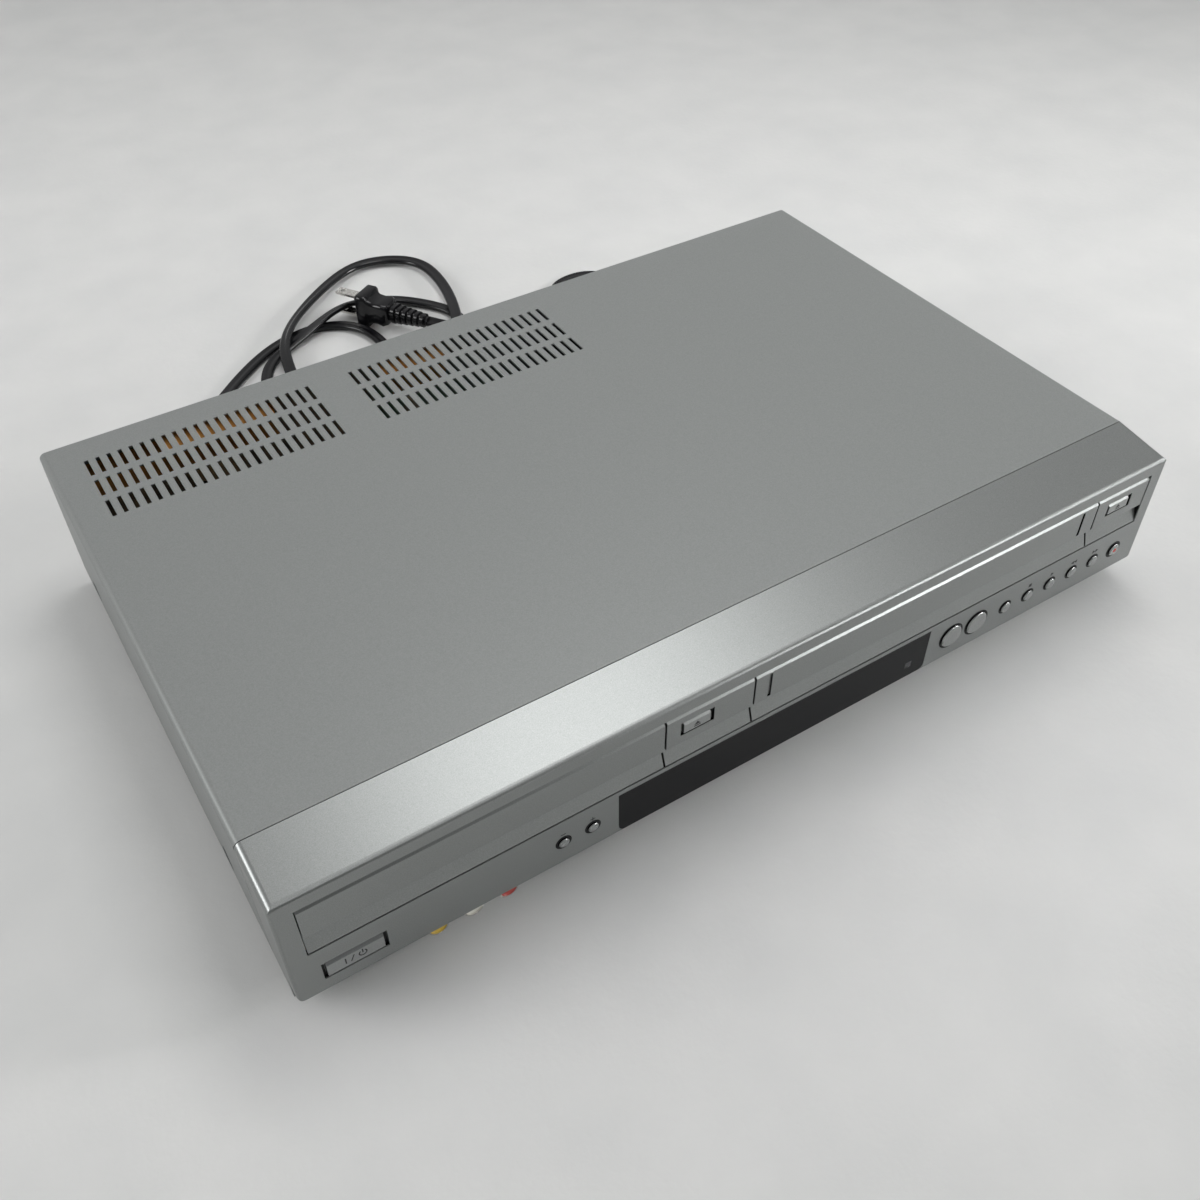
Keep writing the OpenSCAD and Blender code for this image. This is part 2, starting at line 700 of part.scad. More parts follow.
module key_button(x, z, w, h, front, flange_y) {
    color([0.72, 0.73, 0.72]) {
        along_x([x - w / 2, x + w / 2]) polygon([
            [front, z + button_gap], [front, z + button_gap + h - 1],
            [front + 0.9, z + button_gap + h], [flange_y, z + button_gap + h], [flange_y, z + button_gap]
        ]);
        box_at([x - w / 2 - 1, x + w / 2 + 1], [flange_y, flange_y + 1], [z - 0.7, z + h + 1.3]);
        rod_y(x, [flange_y + 0.5, stem_tip], z + button_gap + h / 2, stem_r);
    }
}

module power_button() {
    key_button(power_x, power_z, power_w, power_h, face_y + 0.2, face_y + wall_t + 0.3);
}
module dvd_open_button() {
    key_button(open_x, eject_z, eject_w, eject_h, door_y + 0.1, door_back);
}
module tape_eject_button() {
    key_button(eject_x, eject_z, eject_w, eject_h, door_y + 0.1, door_back);
}
module channel_down_button() { round_button(channel_x[0], channel_r); }
module channel_up_button() { round_button(channel_x[1], channel_r); }
module dvd_select_button() { round_button(source_x[0], source_r); }
module vcr_select_button() { round_button(source_x[1], source_r); }
module input_button() { round_button(small_x0, small_r); }
module stop_button() { round_button(small_x0 + small_pitch, small_r); }
module play_button() { round_button(small_x0 + 2 * small_pitch, small_r); }
module rewind_button() { round_button(small_x0 + 3 * small_pitch, small_r); }
module forward_button() { round_button(small_x0 + 4 * small_pitch, small_r); }
module record_button() { round_button(record_x, record_r); }

// ---- Jacks, aerial sockets and cord ----

// A metal shell, y is its root and s the way it points.
module rca_shell(x, y, z, s) {
    translate([x, y, z]) rotate([s > 0 ? -90 : 90, 0, 0]) difference() {
        cylinder(r = rca_r, h = rca_l);
        translate([0, 0, -1]) cylinder(r = rca_r - rca_shell_t, h = rca_l + 2);
    }
}

module rca_core(x, y, z, s, collar) {
    translate([x, y, z]) rotate([s > 0 ? -90 : 90, 0, 0]) difference() {
        union() {
            cylinder(r = rca_core_r, h = rca_l - 0.6);
            translate([0, 0, -2]) cylinder(r = collar, h = 2);
        }
        translate([0, 0, 0.5]) cylinder(r = 1.6, h = rca_l);
    }
}

rear_root = panel_y1 + 0.6;
front_root = front_rca_y + rca_l;

module rca_shells() {
    color([0.82, 0.82, 0.8]) {
        for (i = [0 : len(stack_x) - 1]) for (j = [0 : 2])
            if (stack_colours[i][j] != "none")
                rca_shell(stack_x[i], rear_root, stack_z - j * rca_pitch, 1);
        for (x = front_rca_x) rca_shell(x, front_root, front_rca_z, -1);
    }
}

module rca_cores(name) {
    for (i = [0 : len(stack_x) - 1]) for (j = [0 : 2])
        if (stack_colours[i][j] == name)
            rca_core(stack_x[i], rear_root, stack_z - j * rca_pitch, 1, rca_collar_r);
}

module rca_cores_yellow() {
    color([0.85, 0.66, 0.1]) {
        rca_cores("yellow");
        rca_core(front_rca_x[0], front_root, front_rca_z, -1, rca_core_r);
    }
}
module rca_cores_white() {
    color([0.88, 0.87, 0.82]) {
        rca_cores("white");
        rca_core(front_rca_x[1], front_root, front_rca_z, -1, rca_core_r);
    }
}
module rca_cores_red() {
    color([0.68, 0.1, 0.08]) {
        rca_cores("red");
        rca_core(front_rca_x[2], front_root, front_rca_z, -1, rca_core_r);
    }
}
module rca_cores_green() { color([0.1, 0.45, 0.2]) rca_cores("green"); }
module rca_cores_blue() { color([0.1, 0.2, 0.55]) rca_cores("blue"); }

module front_jack_base() {
    top = front_rca_z + 6;
    color([0.12, 0.12, 0.12]) difference() {
        union() {
            box_at(jack_base_x, [front_root, front_root + jack_base_l], [face_z - skirt_drop, top]);
            box_at(jack_base_x, [front_root + 2, front_root + jack_base_l + 6], [floor_z, top]);
        }
        for (x = front_rca_x)
            rod_y(x, [front_root - 1, front_root + 2], front_rca_z, rca_core_r + 0.1);
    }
}

module rear_jack_block() {
    y0 = panel_y0 - block_d;
    color([0.12, 0.12, 0.12]) difference() {
        union() {
            box_at([block_x0, block_x1], [y0, panel_y0], [board_z + board_t, stack_z + 7]);
            rod_y(svideo_x, [panel_y0, panel_y1 + 0.6], stack_z - rca_pitch, 6);
        }
        for (i = [0 : len(stack_x) - 1]) for (j = [0 : 2])
            if (stack_colours[i][j] != "none")
                rod_y(stack_x[i], [rear_root - 2, panel_y1 + 2], stack_z - j * rca_pitch, rca_collar_r + 0.1);
        for (a = [0 : 3]) translate([0, 0, stack_z - rca_pitch])
            rod_y(svideo_x + 2.6 * cos(45 + 90 * a), [panel_y0 - 4, panel_y1 + 2],
                2.6 * sin(45 + 90 * a), 0.6);
        rod_y(svideo_x, [panel_y1 - 3, panel_y1 + 2], stack_z - rca_pitch - 3.6, 0.9);
    }
}

module tuner() {
    color([0.75, 0.76, 0.76]) {
        box_at([tuner_x - tuner_w / 2, tuner_x + tuner_w / 2], [panel_y0 - tuner_d, panel_y0],
            [board_z + board_t, aerial_z[1] + 12]);
        for (z = aerial_z) {
            rod_y(tuner_x, [panel_y0, panel_y1 + 0.8], z, 6);
            translate([tuner_x, panel_y1, z]) rotate([-90, 0, 0]) difference() {
                cylinder(r = aerial_r, h = aerial_l);
                translate([0, 0, 1]) cylinder(r = 3.2, h = aerial_l);
            }
            translate([tuner_x, panel_y1, z]) rotate([-90, 0, 0]) difference() {
                cylinder(r = 2.6, h = aerial_l - 1.5);
                translate([0, 0, 2]) cylinder(r = 0.6, h = aerial_l);
            }
        }
    }
}

bush_y0 = panel_y0 - 3;
cord_start = cord_route[0];

module cord_bush() {
    color([0.06, 0.06, 0.06]) {
        turned_y(cord_x, cord_z, [[0, bush_y0], [bush_r, bush_y0], [bush_r, panel_y1],
            [bush_r + 2, panel_y1], [bush_r + 2, panel_y1 + 2.4], [4.4, panel_y1 + 3], [4.2, panel_y1 + 10],
            [0, panel_y1 + 10]]);
        swept([[cord_x, panel_y1 + 9, cord_z], [cord_x, panel_y1 + 20, cord_z - 1],
            [cord_x, cord_start[1] - 9, cord_start[2] + 4], cord_start], 3.6, 2.8, 12);
    }
}

module mains_cord() {
    path = smooth_path(cord_route, cord_steps);
    color([0.06, 0.06, 0.06]) swept(path, cord_w / 2 * 0.924, cord_t / 2 * 0.924, cord_sides);
}

plug_tip = cord_route[len(cord_route) - 1];

module at_plug() {
    translate(plug_tip) rotate([0, 0, plug_dir]) rotate([90, 0, 0]) children();
}

grip_x = 26;
flange_at = grip_x + plug_grip[0];

// A block that starts at x and is centred on the plug's axis.
module plug_block(x, size) {
    translate([x, -size[1] / 2, -size[2] / 2]) cube(size);
}

module plug_body() {
    color([0.06, 0.06, 0.06]) at_plug() {
        for (i = [0 : 4]) translate([3 + i * 4.6, 0, 0]) rotate([0, 90, 0])
            cylinder(r = 4 + i * 0.35, h = 2.9);
        rotate([0, 90, 0]) cylinder(r1 = 3.4, r2 = 5, h = grip_x + 1);
        plug_block(grip_x, plug_grip);
        plug_block(flange_at, plug_flange);
    }
}

module plug_blades() {
    color([0.82, 0.82, 0.8]) at_plug() for (s = [-1, 1]) translate([0, s * blade_gap / 2, 0]) difference() {
        plug_block(flange_at + plug_flange[0], blade_size);
        translate([flange_at + plug_flange[0] + 14, 2, 0]) rotate([90, 0, 0]) cylinder(r = 1.5, h = 4);
    }
}

// ---- Boards ----

module post_holes(r) {
    for (p = post_xy) rod_z(p[0], p[1], [board_z - 1, board_z + board_t + 1], r);
}

chips = [[20, -100, 26, 26, 3], [70, -60, 20, 20, 3], [110, 60, 16, 28, 5], [-20, -90, 16, 20, 4],
    [10, 84, 24, 30, 6], [60, 92, 14, 14, 9], [104, 96, 30, 10, 7], [150, 84, 10, 22, 8]];

module main_board() {
    color([0.32, 0.4, 0.2]) difference() {
        union() {
            box_at([split_x, flange_x - plate_t - 1], [face_y + 24, panel_y0 - 1],
                [board_z, board_z + board_t]);
            box_at([-flange_x + plate_t + 1, split_x], [face_y + 24, frame_y1 + 4],
                [board_z, board_z + board_t]);
            for (c = chips) translate([c[0] - c[2] / 2, c[1] - c[3] / 2, board_z + 0.5])
                cube([c[2], c[3], board_t - 0.5 + c[4] * 0.6]);
        }
        post_holes(4.2);
        rod_z(capstan_x, capstan_y, [board_z - 1, board_z + board_t + 1], 4);
    }
}

module front_board() {
    y = [front_board_y, front_board_y + board_t];
    switches = concat([power_x], channel_x, source_x, [for (i = [0 : 4]) small_x0 + i * small_pitch],
        [record_x]);
    color([0.62, 0.5, 0.28]) {
        box_at([-half_w + wall_t + 2, half_w - wall_t - 2], y, [floor_z + 9, band_z0 - 2]);
        box_at([band_x1 + 2, band_x2 - 2], y, [band_z0 - 3, eject_z + 12]);
        box_at([band_x3 + 3, half_w - wall_t - 2], y, [band_z0 - 3, eject_z + 12]);
        for (x = switches)
            box_at([x - 3, x + 3], [front_board_y - switch_h, front_board_y], [small_z - 3, small_z + 3]);
        for (x = [open_x, eject_x]) box_at([x - 3, x + 3], [front_board_y - switch_h, front_board_y],
            [eject_z, eject_z + 6]);
        box_at([window_x + 18, window_x + window_w - 30], [front_board_y - 6, front_board_y],
            [window_z + 3, window_z + window_h - 4]);
        for (x = [-half_w + 45, channel_x[0] - 4, 0, source_x[0] - 4, half_w - 25])
            box_at([x - 3, x + 3], [front_board_y, front_board_y + board_t], [floor_z, floor_z + 9]);
    }
}

power_x0 = -flange_x + plate_t + 1;
power_y0 = frame_y1 + 8;
riser_x = split_x + 10;

module power_board() {
    color([0.66, 0.5, 0.26]) {
        box_at([power_x0, split_x - 2], [power_y0, panel_y0 - 1], [board_z, board_z + board_t]);
        for (i = [0 : 6])
            box_at([power_x0 + 96 + i * 5, power_x0 + 98 + i * 5], [power_y0 + 10, power_y0 + 40],
                [board_z + board_t, board_z + board_t + 28]);
        box_at([power_x0 + 96, power_x0 + 128], [power_y0 + 24, power_y0 + 26],
            [board_z + board_t, board_z + board_t + 28]);
        box_at([riser_x, riser_x + board_t], [panel_y0 - 66, panel_y0 - 20],
            [board_z + board_t, case_h - 12]);
    }
}

module transformer() {
    x = power_x0 + 74;
    y = power_y0 + 28;
    z = board_z + board_t;
    color([0.82, 0.7, 0.3]) {
        box_at([x - 16, x + 16], [y - 5, y + 5], [z, z + 28]);
        box_at([x - 11, x + 11], [y - 13, y + 13], [z + 2, z + 25]);
        box_at([x - 15, x + 15], [y - 12, y + 12], [z, z + 3]);
    }
}

// A capacitor has a groove near its foot and a rim round its top.
module capacitor(x, y, r, h) {
    translate([power_x0 + x, y, board_z + board_t]) rotate_extrude() polygon([
        [0, 0], [r, 0], [r, 1.6], [r - 0.4, 2], [r, 2.4], [r, h - 0.6], [r - 0.6, h], [r - 1.2, h],
        [r - 1.4, h - 0.4], [0, h - 0.4]
    ]);
}

// Each is x on the board, the distance before the rear panel, the radius and the height.
cap_list = [
    [18, 30, 9, 34], [44, 26, 6, 24], [58, 18, 4, 16], [92, 18, 5, 20], [112, 16, 5, 20], [134, 24, 4, 14]
];

module capacitors() {
    color([0.1, 0.12, 0.2]) {
        for (c = cap_list) capacitor(c[0], panel_y0 - c[1], c[2], c[3]);
        capacitor(20, power_y0 + 14, 5, 14);
    }
}

insulator_t = 0.5;
insulator_x = [[power_x0 + 2, -106], [-43, -12]];

module insulator_sheet() {
    color([0.76, 0.5, 0.26]) for (x = insulator_x)
        box_at(x, [panel_y0 - insulator_t, panel_y0], [case_h - 34, case_h - 12]);
}

// ---- Disc drive ----

module loader_frame() {
    color([0.16, 0.16, 0.17]) difference() {
        union() {
            box_at([frame_x0, frame_x1], [frame_y0, frame_y1], [frame_z0, frame_z0 + frame_wall]);
            box_at([frame_x0, frame_x0 + frame_wall], [frame_y0, frame_y1], [frame_z0, frame_z1]);
            box_at([frame_x1 - frame_wall, frame_x1], [frame_y0, frame_y1], [frame_z0, frame_z1]);
            box_at([frame_x0, frame_x1], [frame_y1 - frame_wall, frame_y1], [frame_z0, frame_z1]);
            for (s = [-1, 1]) {
                inner = tray_cx + s * (tray_w / 2 + frame_gap);
                rail_x = s > 0 ? [inner - 3, inner + 1] : [inner - 1, inner + 3];
                box_at(rail_x, [frame_y0, frame_y1], [tray_z0 - 0.3 - rail_t, tray_z0 - 0.3]);
                box_at(rail_x, [frame_y0, frame_y0 + 30], [tray_z1 + 0.3, tray_z1 + 0.3 + rail_t]);
                box_at(rail_x, [frame_y1 - 34, frame_y1], [tray_z1 + 0.3, tray_z1 + 0.3 + rail_t]);
            }
            box_at([frame_x0, frame_x1], [disc_y - 16, disc_y + 16], [bridge_z, bridge_z + bridge_t]);
            rod_z(gear_x, gear_y, [frame_z0, gear_z - 0.2], 4);
            rod_z(gear_x, gear_y, [frame_z0, gear_z + rack_h - 0.8], pillar_r);
            for (s = [-1, 1]) {
                ear = s > 0 ? [tray_cx + 46.3, tray_cx + 50] : [tray_cx - 50, tray_cx - 46.3];
                box_at(ear, [hinge_y - 4, hinge_y + 4], [frame_z0, traverse_z + 6]);
            }
        }
        box_at([tray_cx - 42, tray_cx + 42], [traverse_y0 - 6, traverse_y1 - 12],
            [frame_z0 - 1, frame_z0 + 9]);
        rod_z(tray_cx, disc_y, [bridge_z - 1, bridge_z + bridge_t + 1], 9);
        for (s = [-1, 1])
            rod_x([tray_cx + s * 48 - 3, tray_cx + s * 48 + 3], hinge_y, traverse_z + 2, hinge_r + shaft_gap);
        rod_z(tray_motor[0], tray_motor[1], [frame_z0 - 1, frame_z0 + frame_wall + 1], 11);
    }
}

module disc_tray() {
    x0 = tray_cx - tray_w / 2;
    x1 = tray_cx + tray_w / 2;
    y1 = tray_y0 + tray_l;
    teeth = floor((tray_l - 16) / (PI * gear_module));
    color([0.14, 0.14, 0.15]) {
        difference() {
            box_at([x0, x1], [tray_y0, y1], [tray_z0, tray_z1]);
            rod_z(tray_cx, disc_y, [well_z, tray_z1 + 1], disc_r + 1);
            rod_z(tray_cx, disc_y, [well_z - 1.2, tray_z1 + 1], 41);
            rod_z(tray_cx, disc_y, [tray_z0 - 1, tray_z1 + 1], slot_half);
            box_at([tray_cx - slot_half, tray_cx + slot_half], [disc_y, y1 + 1], [tray_z0 - 1, tray_z1 + 1]);
            box_at([x0 + 12, x1 - 12], [tray_y0 + 10, tray_y0 + 14], [tray_z0 - 1, tray_z0 + 2]);
        }
        translate([rack_x, 0, tray_z0 - rack_h]) {
            box_at([-3, -1.25], [tray_y0 + 8, y1], [0, rack_h + 0.5]);
            for (i = [0 : teeth])
                translate([0, gear_y - gear_module * PI * floor((gear_y - tray_y0 - 10) / (PI * gear_module))
                    + i * PI * gear_module, 0])
                    linear_extrude(rack_h + 0.2)
                        polygon([[-1.5, -1.15], [0.8, -0.4], [0.8, 0.4], [-1.5, 1.15]]);
        }
    }
}

module tray_gear() {
    step = 360 / gear_teeth;
    color([0.85, 0.85, 0.82]) translate([gear_x, gear_y, gear_z + 0.2]) difference() {
        linear_extrude(rack_h - 0.8) union() {
            circle(gear_pr - 1.25);
            for (i = [0 : gear_teeth - 1]) rotate(180 + (i + 0.5) * step)
                polygon([[gear_pr - 2, -1], [gear_pr + 0.8, -0.35], [gear_pr + 0.8, 0.35], [gear_pr - 2, 1]]);
        }
        translate([0, 0, -1]) cylinder(r = pillar_r + shaft_gap, h = rack_h + 2);
        for (a = [0 : 3]) rotate(90 * a) translate([5.4, 0, -1]) cylinder(r = 1.6, h = rack_h + 2);
    }
}

module traverse_frame() {
    z = [traverse_z, traverse_z + traverse_t];
    color([0.2, 0.2, 0.21]) difference() {
        union() {
            box_at([tray_cx - 40, tray_cx + 40], [traverse_y0, traverse_y1 - 14], z);
            box_at([tray_cx - 46, tray_cx + 46], [traverse_y1 - 14, traverse_y1], z);
            rod_x([tray_cx - 49.8, tray_cx + 49.8], hinge_y, traverse_z + 2, hinge_r);
            rod_z(tray_cx, disc_y, [traverse_z - 2, traverse_z + 6], 13);
            for (s = [-1, 1]) for (y = [disc_y + 15, traverse_y1 - 16])
                box_at([tray_cx + s * guide_x - 3, tray_cx + s * guide_x + 3], [y - 2, y + 2],
                    [traverse_z, guide_z + 2.4]);
        }
        box_at([tray_cx - 34, tray_cx + 34], [disc_y + 18, traverse_y1 - 19], [traverse_z - 1, guide_z + 9]);
        for (s = [-1, 1])
            rod_y(tray_cx + s * guide_x, [disc_y + 12, traverse_y1 - 13], guide_z, rod_r + 0.02);
        rod_z(tray_cx, disc_y, [traverse_z - 3, traverse_z + 8], spindle_r + shaft_gap);
    }
}

module guide_rods() {
    color([0.8, 0.8, 0.82]) for (s = [-1, 1])
        rod_y(tray_cx + s * guide_x, [disc_y + 13, traverse_y1 - 14], guide_z, rod_r);
}

module pickup_sled() {
    color([0.3, 0.3, 0.33]) difference() {
        union() {
            box_at([tray_cx - guide_x - 5, tray_cx + guide_x + 5], [sled_y0, sled_y0 + sled_l],
                [guide_z - 3.4, guide_z + 3.4]);
            box_at([tray_cx - 13, tray_cx + 13], [sled_y0 + 1, sled_y0 + sled_l - 1], [guide_z, guide_z + 6]);
            rod_z(tray_cx, lens_y, [guide_z, guide_z + 7], 3.4);
        }
        for (s = [-1, 1])
            rod_y(tray_cx + s * guide_x, [sled_y0 - 1, sled_y0 + sled_l + 1], guide_z, rod_r + shaft_gap);
    }
}

module turntable() {
    color([0.1, 0.1, 0.1]) translate([tray_cx, disc_y, 0]) rotate_extrude() polygon([
        [0, traverse_z - 1.5], [spindle_r, traverse_z - 1.5], [spindle_r, traverse_z + 6.4],
        [11, traverse_z + 6.4], [11, spin_top - 2.2], [14.5, spin_top - 1.6], [14.5, spin_top],
        [7.4, spin_top],
        [6.6, spin_top + 1.7], [5.6, spin_top + 2], [0, spin_top + 2]
    ]);
}

module disc_clamper() {
    z = bridge_z + bridge_t + 0.3;
    low = spin_top + 2.3;
    color([0.85, 0.85, 0.83]) translate([tray_cx, disc_y, 0]) rotate_extrude() polygon([
        [0, low], [clamp_r - 2, low], [clamp_r - 1.4, low + 1], [8.2, low + 1.2], [8.2, z],
        [clamp_r - 2, z], [clamp_r - 2, z + 1.6], [0, z + 1.6]
    ]);
}

tray_motor = [frame_x0 + 54, frame_y0 + 12];
deck_motor = [deck_cx - 70, deck_y1 - 34];

module can_motor(x, y, z) {
    rod_z(x, y, [z - 14, z + 4], 10.5);
    rod_z(x, y, [z + 3, z + 6], 3);
    rod_z(x, y, [z + 5, z + 9], 1);
}

module drive_motors() {
    color([0.7, 0.71, 0.72]) {
        can_motor(tray_motor[0], tray_motor[1], frame_z0 + 1);
        rod_z(tray_motor[0], tray_motor[1], [frame_z0 + frame_wall, frame_z0 + frame_wall + 1], 12.5);
        can_motor(deck_motor[0], deck_motor[1], deck_z + deck_t + 14);
    }
}

// ---- Cassette deck ----

reel_x = [deck_cx - reel_pitch / 2, deck_cx + reel_pitch / 2];

module guide_post(x, y) {
    translate([x, y, deck_z]) rotate_extrude() polygon([
        [0, 0], [3, 0], [3, 6], [2, 6], [2, 9], [3.4, 9], [3.4, 10], [2, 10], [2, 24], [3.4, 24], [3.4, 25],
        [1, 26], [0, 26]
    ]);
}

module deck_chassis() {
    color([0.66, 0.67, 0.66]) difference() {
        union() {
            box_at([deck_cx - deck_half, deck_cx + deck_half], [deck_y0, deck_y1], [deck_z, deck_z + deck_t]);
            for (s = [-1, 1]) {
                edge = deck_cx + s * deck_half;
                box_at(s > 0 ? [edge - bracket_t, edge] : [edge, edge + bracket_t],
                    [bracket_y0, bracket_y1], [deck_z, bracket_z1]);
            }
            box_at([deck_cx - deck_half, deck_cx + deck_half], [bracket_y1 - 12, bracket_y1 - 4],
                [bracket_z1 - 1, bracket_z1]);
            for (x = reel_x) rod_z(x, reel_y, [deck_z, deck_z + 12], 1.5);
            for (s = [-1, 1]) {
                guide_post(deck_cx + s * 52, drum_y - 38);
                guide_post(deck_cx + s * 42, drum_y + 4);
            }
            rod_z(capstan_x + 24, capstan_y + 4, [deck_z, deck_z + 20], 2);
            box_at([deck_cx + 54, deck_cx + 62], [drum_y - 2, drum_y + 8], [deck_z, deck_z + 24]);
            rod_z(capstan_x, capstan_y, [deck_z, deck_z + 6.5], 4.5);
        }
        rod_z(capstan_x, capstan_y, [deck_z - 1, deck_z + 14], capstan_r + shaft_gap);
        for (s = [-1, 1]) {
            edge = deck_cx + s * deck_half;
            box_at(s > 0 ? [edge - 3, edge + 1] : [edge - 1, edge + 3], [bracket_y0 + 6, bracket_y1 - 14],
                [rail_z - 2.5, rail_z + 2.5]);
        }
    }
}

module carriage_slides() {
    color([0.78, 0.78, 0.8]) for (s = [-1, 1]) {
        face = deck_cx + s * (deck_half - bracket_t - slide_gap);
        x = s > 0 ? [face - slide_t, face] : [face, face + slide_t];
        difference() {
            box_at(x, [holder_y0 + 2, holder_y0 + holder_l - 2], [slide_z0 - load_down, slide_z1]);
            box_at([x[0] - 1, x[1] + 1], [holder_y0 + 20, holder_y0 + 24],
                [slide_z0 + 2 - load_down, slide_z1 - 2]);
        }
        for (y = [holder_y0 + 8, holder_y0 + 38])
            rod_x(s > 0 ? [face - 0.5, face + 1.8] : [face - 1.8, face + 0.5], y, rail_z, 2.4);
    }
}

module cassette_holder() {
    y = [holder_y0, holder_y0 + holder_l];
    color([0.72, 0.72, 0.74]) {
        for (s = [-1, 1]) {
            wall = deck_cx + s * holder_half;
            box_at(s > 0 ? [wall, wall + holder_t] : [wall - holder_t, wall], y, [holder_z0, holder_z1]);
            box_at(s > 0 ? [wall - 12, wall + holder_t] : [wall - holder_t, wall + 12], y,
                [holder_z0, holder_z0 + holder_t]);
            box_at(s > 0 ? [wall - 9, wall] : [wall, wall + 9], [y[1] - holder_t, y[1]],
                [holder_z0, holder_z0 + 14]);
            pin = s > 0 ? [wall + holder_t - 0.2, wall + 2] : [wall - 2, wall - holder_t + 0.2];
            rod_x(pin, holder_y0 + 22, rail_z, 1.7);
        }
        box_at([deck_cx - holder_half - holder_t, deck_cx + holder_half + holder_t], y,
            [holder_z1 - holder_t, holder_z1]);
    }
}

module at_drum() {
    translate([deck_cx, drum_y, drum_z]) rotate([drum_tilt, 0, 0]) children();
}

drum_split = 14;
drum_h = 15;

module drum_base() {
    color([0.7, 0.7, 0.7]) {
        difference() {
            at_drum() {
                cylinder(r = drum_r, h = drum_split);
                translate([0, 0, -3]) cylinder(r = 22, h = 4);
                translate([-28, -12, -12]) cube([8, 24, 13]);
                translate([20, -12, -12]) cube([8, 24, 13]);
            }
            box_at([deck_cx - 50, deck_cx + 50], [drum_y - 50, drum_y + 50], [deck_z - 20, deck_z + deck_t]);
            at_drum() translate([0, 0, -4]) cylinder(r = 2 + shaft_gap, h = drum_split + 5);
        }
    }
}

module head_drum() {
    color([0.8, 0.8, 0.82]) at_drum() difference() {
        union() {
            translate([0, 0, drum_split + 0.3]) cylinder(r = drum_r, h = drum_h);
            translate([0, 0, drum_split + drum_h]) cylinder(r = 12, h = 4);
            cylinder(r = 2, h = drum_split + 2);
        }
        for (a = [0 : 5]) rotate(60 * a) translate([20, 0, drum_split + drum_h - 3]) cylinder(r = 4, h = 5);
    }
}

module capstan() {
    color([0.76, 0.76, 0.78]) translate([capstan_x, capstan_y, 0]) {
        translate([0, 0, deck_z - 0.5]) cylinder(r = capstan_r, h = 34);
        translate([0, 0, deck_z - 5]) cylinder(r = wheel_r, h = 4.6);
    }
}

pinch_x = capstan_x + 24;
pinch_y = capstan_y + 4;
pinch_reach = 18;

module pinch_roller() {
    color([0.12, 0.12, 0.12]) {
        difference() {
            union() {
                rod_z(pinch_x, pinch_y, [deck_z + deck_t + 0.4, deck_z + deck_t + 5], 4);
                box_at([pinch_x - 2.5, pinch_x + 2.5], [pinch_y - pinch_reach, pinch_y],
                    [deck_z + deck_t + 1.4, deck_z + deck_t + 4]);
            }
            rod_z(pinch_x, pinch_y, [deck_z, deck_z + 12], 2 + shaft_gap);
        }
        rod_z(pinch_x, pinch_y - pinch_reach, [deck_z + deck_t + 1.4, deck_z + 8], 2);
        rod_z(pinch_x, pinch_y - pinch_reach, [deck_z + 7, deck_z + 24], roller_r);
    }
}

module reel(x) {
    z = deck_z + deck_t + 0.3;
    color([0.15, 0.15, 0.16]) translate([x, reel_y, 0]) difference() {
        union() {
            translate([0, 0, z]) cylinder(r = reel_r, h = 2);
            translate([0, 0, z]) cylinder(r = 10, h = 4);
            translate([0, 0, z]) cylinder(r = 5, h = 12);
            for (a = [0 : 5]) rotate(60 * a) translate([4, -0.8, z + 3]) cube([3.4, 1.6, 7]);
        }
        translate([0, 0, deck_z]) cylinder(r = 1.5 + shaft_gap, h = 12.4);
    }
}

module supply_reel() { reel(reel_x[0]); }
module takeup_reel() { reel(reel_x[1]); }

top_cover();
bottom_plate();
rear_panel();
front_bezel();
display_window();
feet();
case_screws();
tray_door();
cassette_flap();
flap_spring();
power_button();
dvd_open_button();
tape_eject_button();
channel_down_button();
channel_up_button();
dvd_select_button();
vcr_select_button();
input_button();
stop_button();
play_button();
rewind_button();
forward_button();
record_button();
rca_shells();
rca_cores_yellow();
rca_cores_white();
rca_cores_red();
rca_cores_green();
rca_cores_blue();
rear_jack_block();
tuner();
mains_cord();
cord_bush();
plug_body();
plug_blades();
main_board();
front_board();
power_board();
transformer();
capacitors();
insulator_sheet();
loader_frame();
disc_tray();
tray_gear();
traverse_frame();
turntable();
pickup_sled();
guide_rods();
disc_clamper();
drive_motors();
deck_chassis();
carriage_slides();
cassette_holder();
drum_base();
head_drum();
capstan();
pinch_roller();
supply_reel();
takeup_reel();
front_jack_base();
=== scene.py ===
# Disc and tape combination player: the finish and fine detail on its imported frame, in metres.
# X runs left to right seen from the front, Y from front to back, Z is up.

import math

import bmesh
import bpy
from mathutils import Matrix, Vector


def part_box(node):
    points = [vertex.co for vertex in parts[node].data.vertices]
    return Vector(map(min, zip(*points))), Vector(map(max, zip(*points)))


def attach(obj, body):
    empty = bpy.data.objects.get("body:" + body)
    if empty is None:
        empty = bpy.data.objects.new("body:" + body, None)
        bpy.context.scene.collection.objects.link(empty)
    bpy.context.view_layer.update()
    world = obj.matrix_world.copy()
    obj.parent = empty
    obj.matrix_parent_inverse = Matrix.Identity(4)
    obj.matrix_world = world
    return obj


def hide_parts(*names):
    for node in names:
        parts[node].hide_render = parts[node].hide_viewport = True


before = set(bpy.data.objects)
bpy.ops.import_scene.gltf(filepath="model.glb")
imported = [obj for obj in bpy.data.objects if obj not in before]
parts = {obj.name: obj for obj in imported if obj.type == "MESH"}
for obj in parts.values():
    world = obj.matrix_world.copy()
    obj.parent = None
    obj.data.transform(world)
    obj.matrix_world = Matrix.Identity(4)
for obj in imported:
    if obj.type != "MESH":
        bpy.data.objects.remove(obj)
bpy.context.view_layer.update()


# ---- Camera ----
# A hand-held camera in front of the player's left corner, about 40 cm above the table and tilted
# well down. It is only a viewpoint and holds no piece.

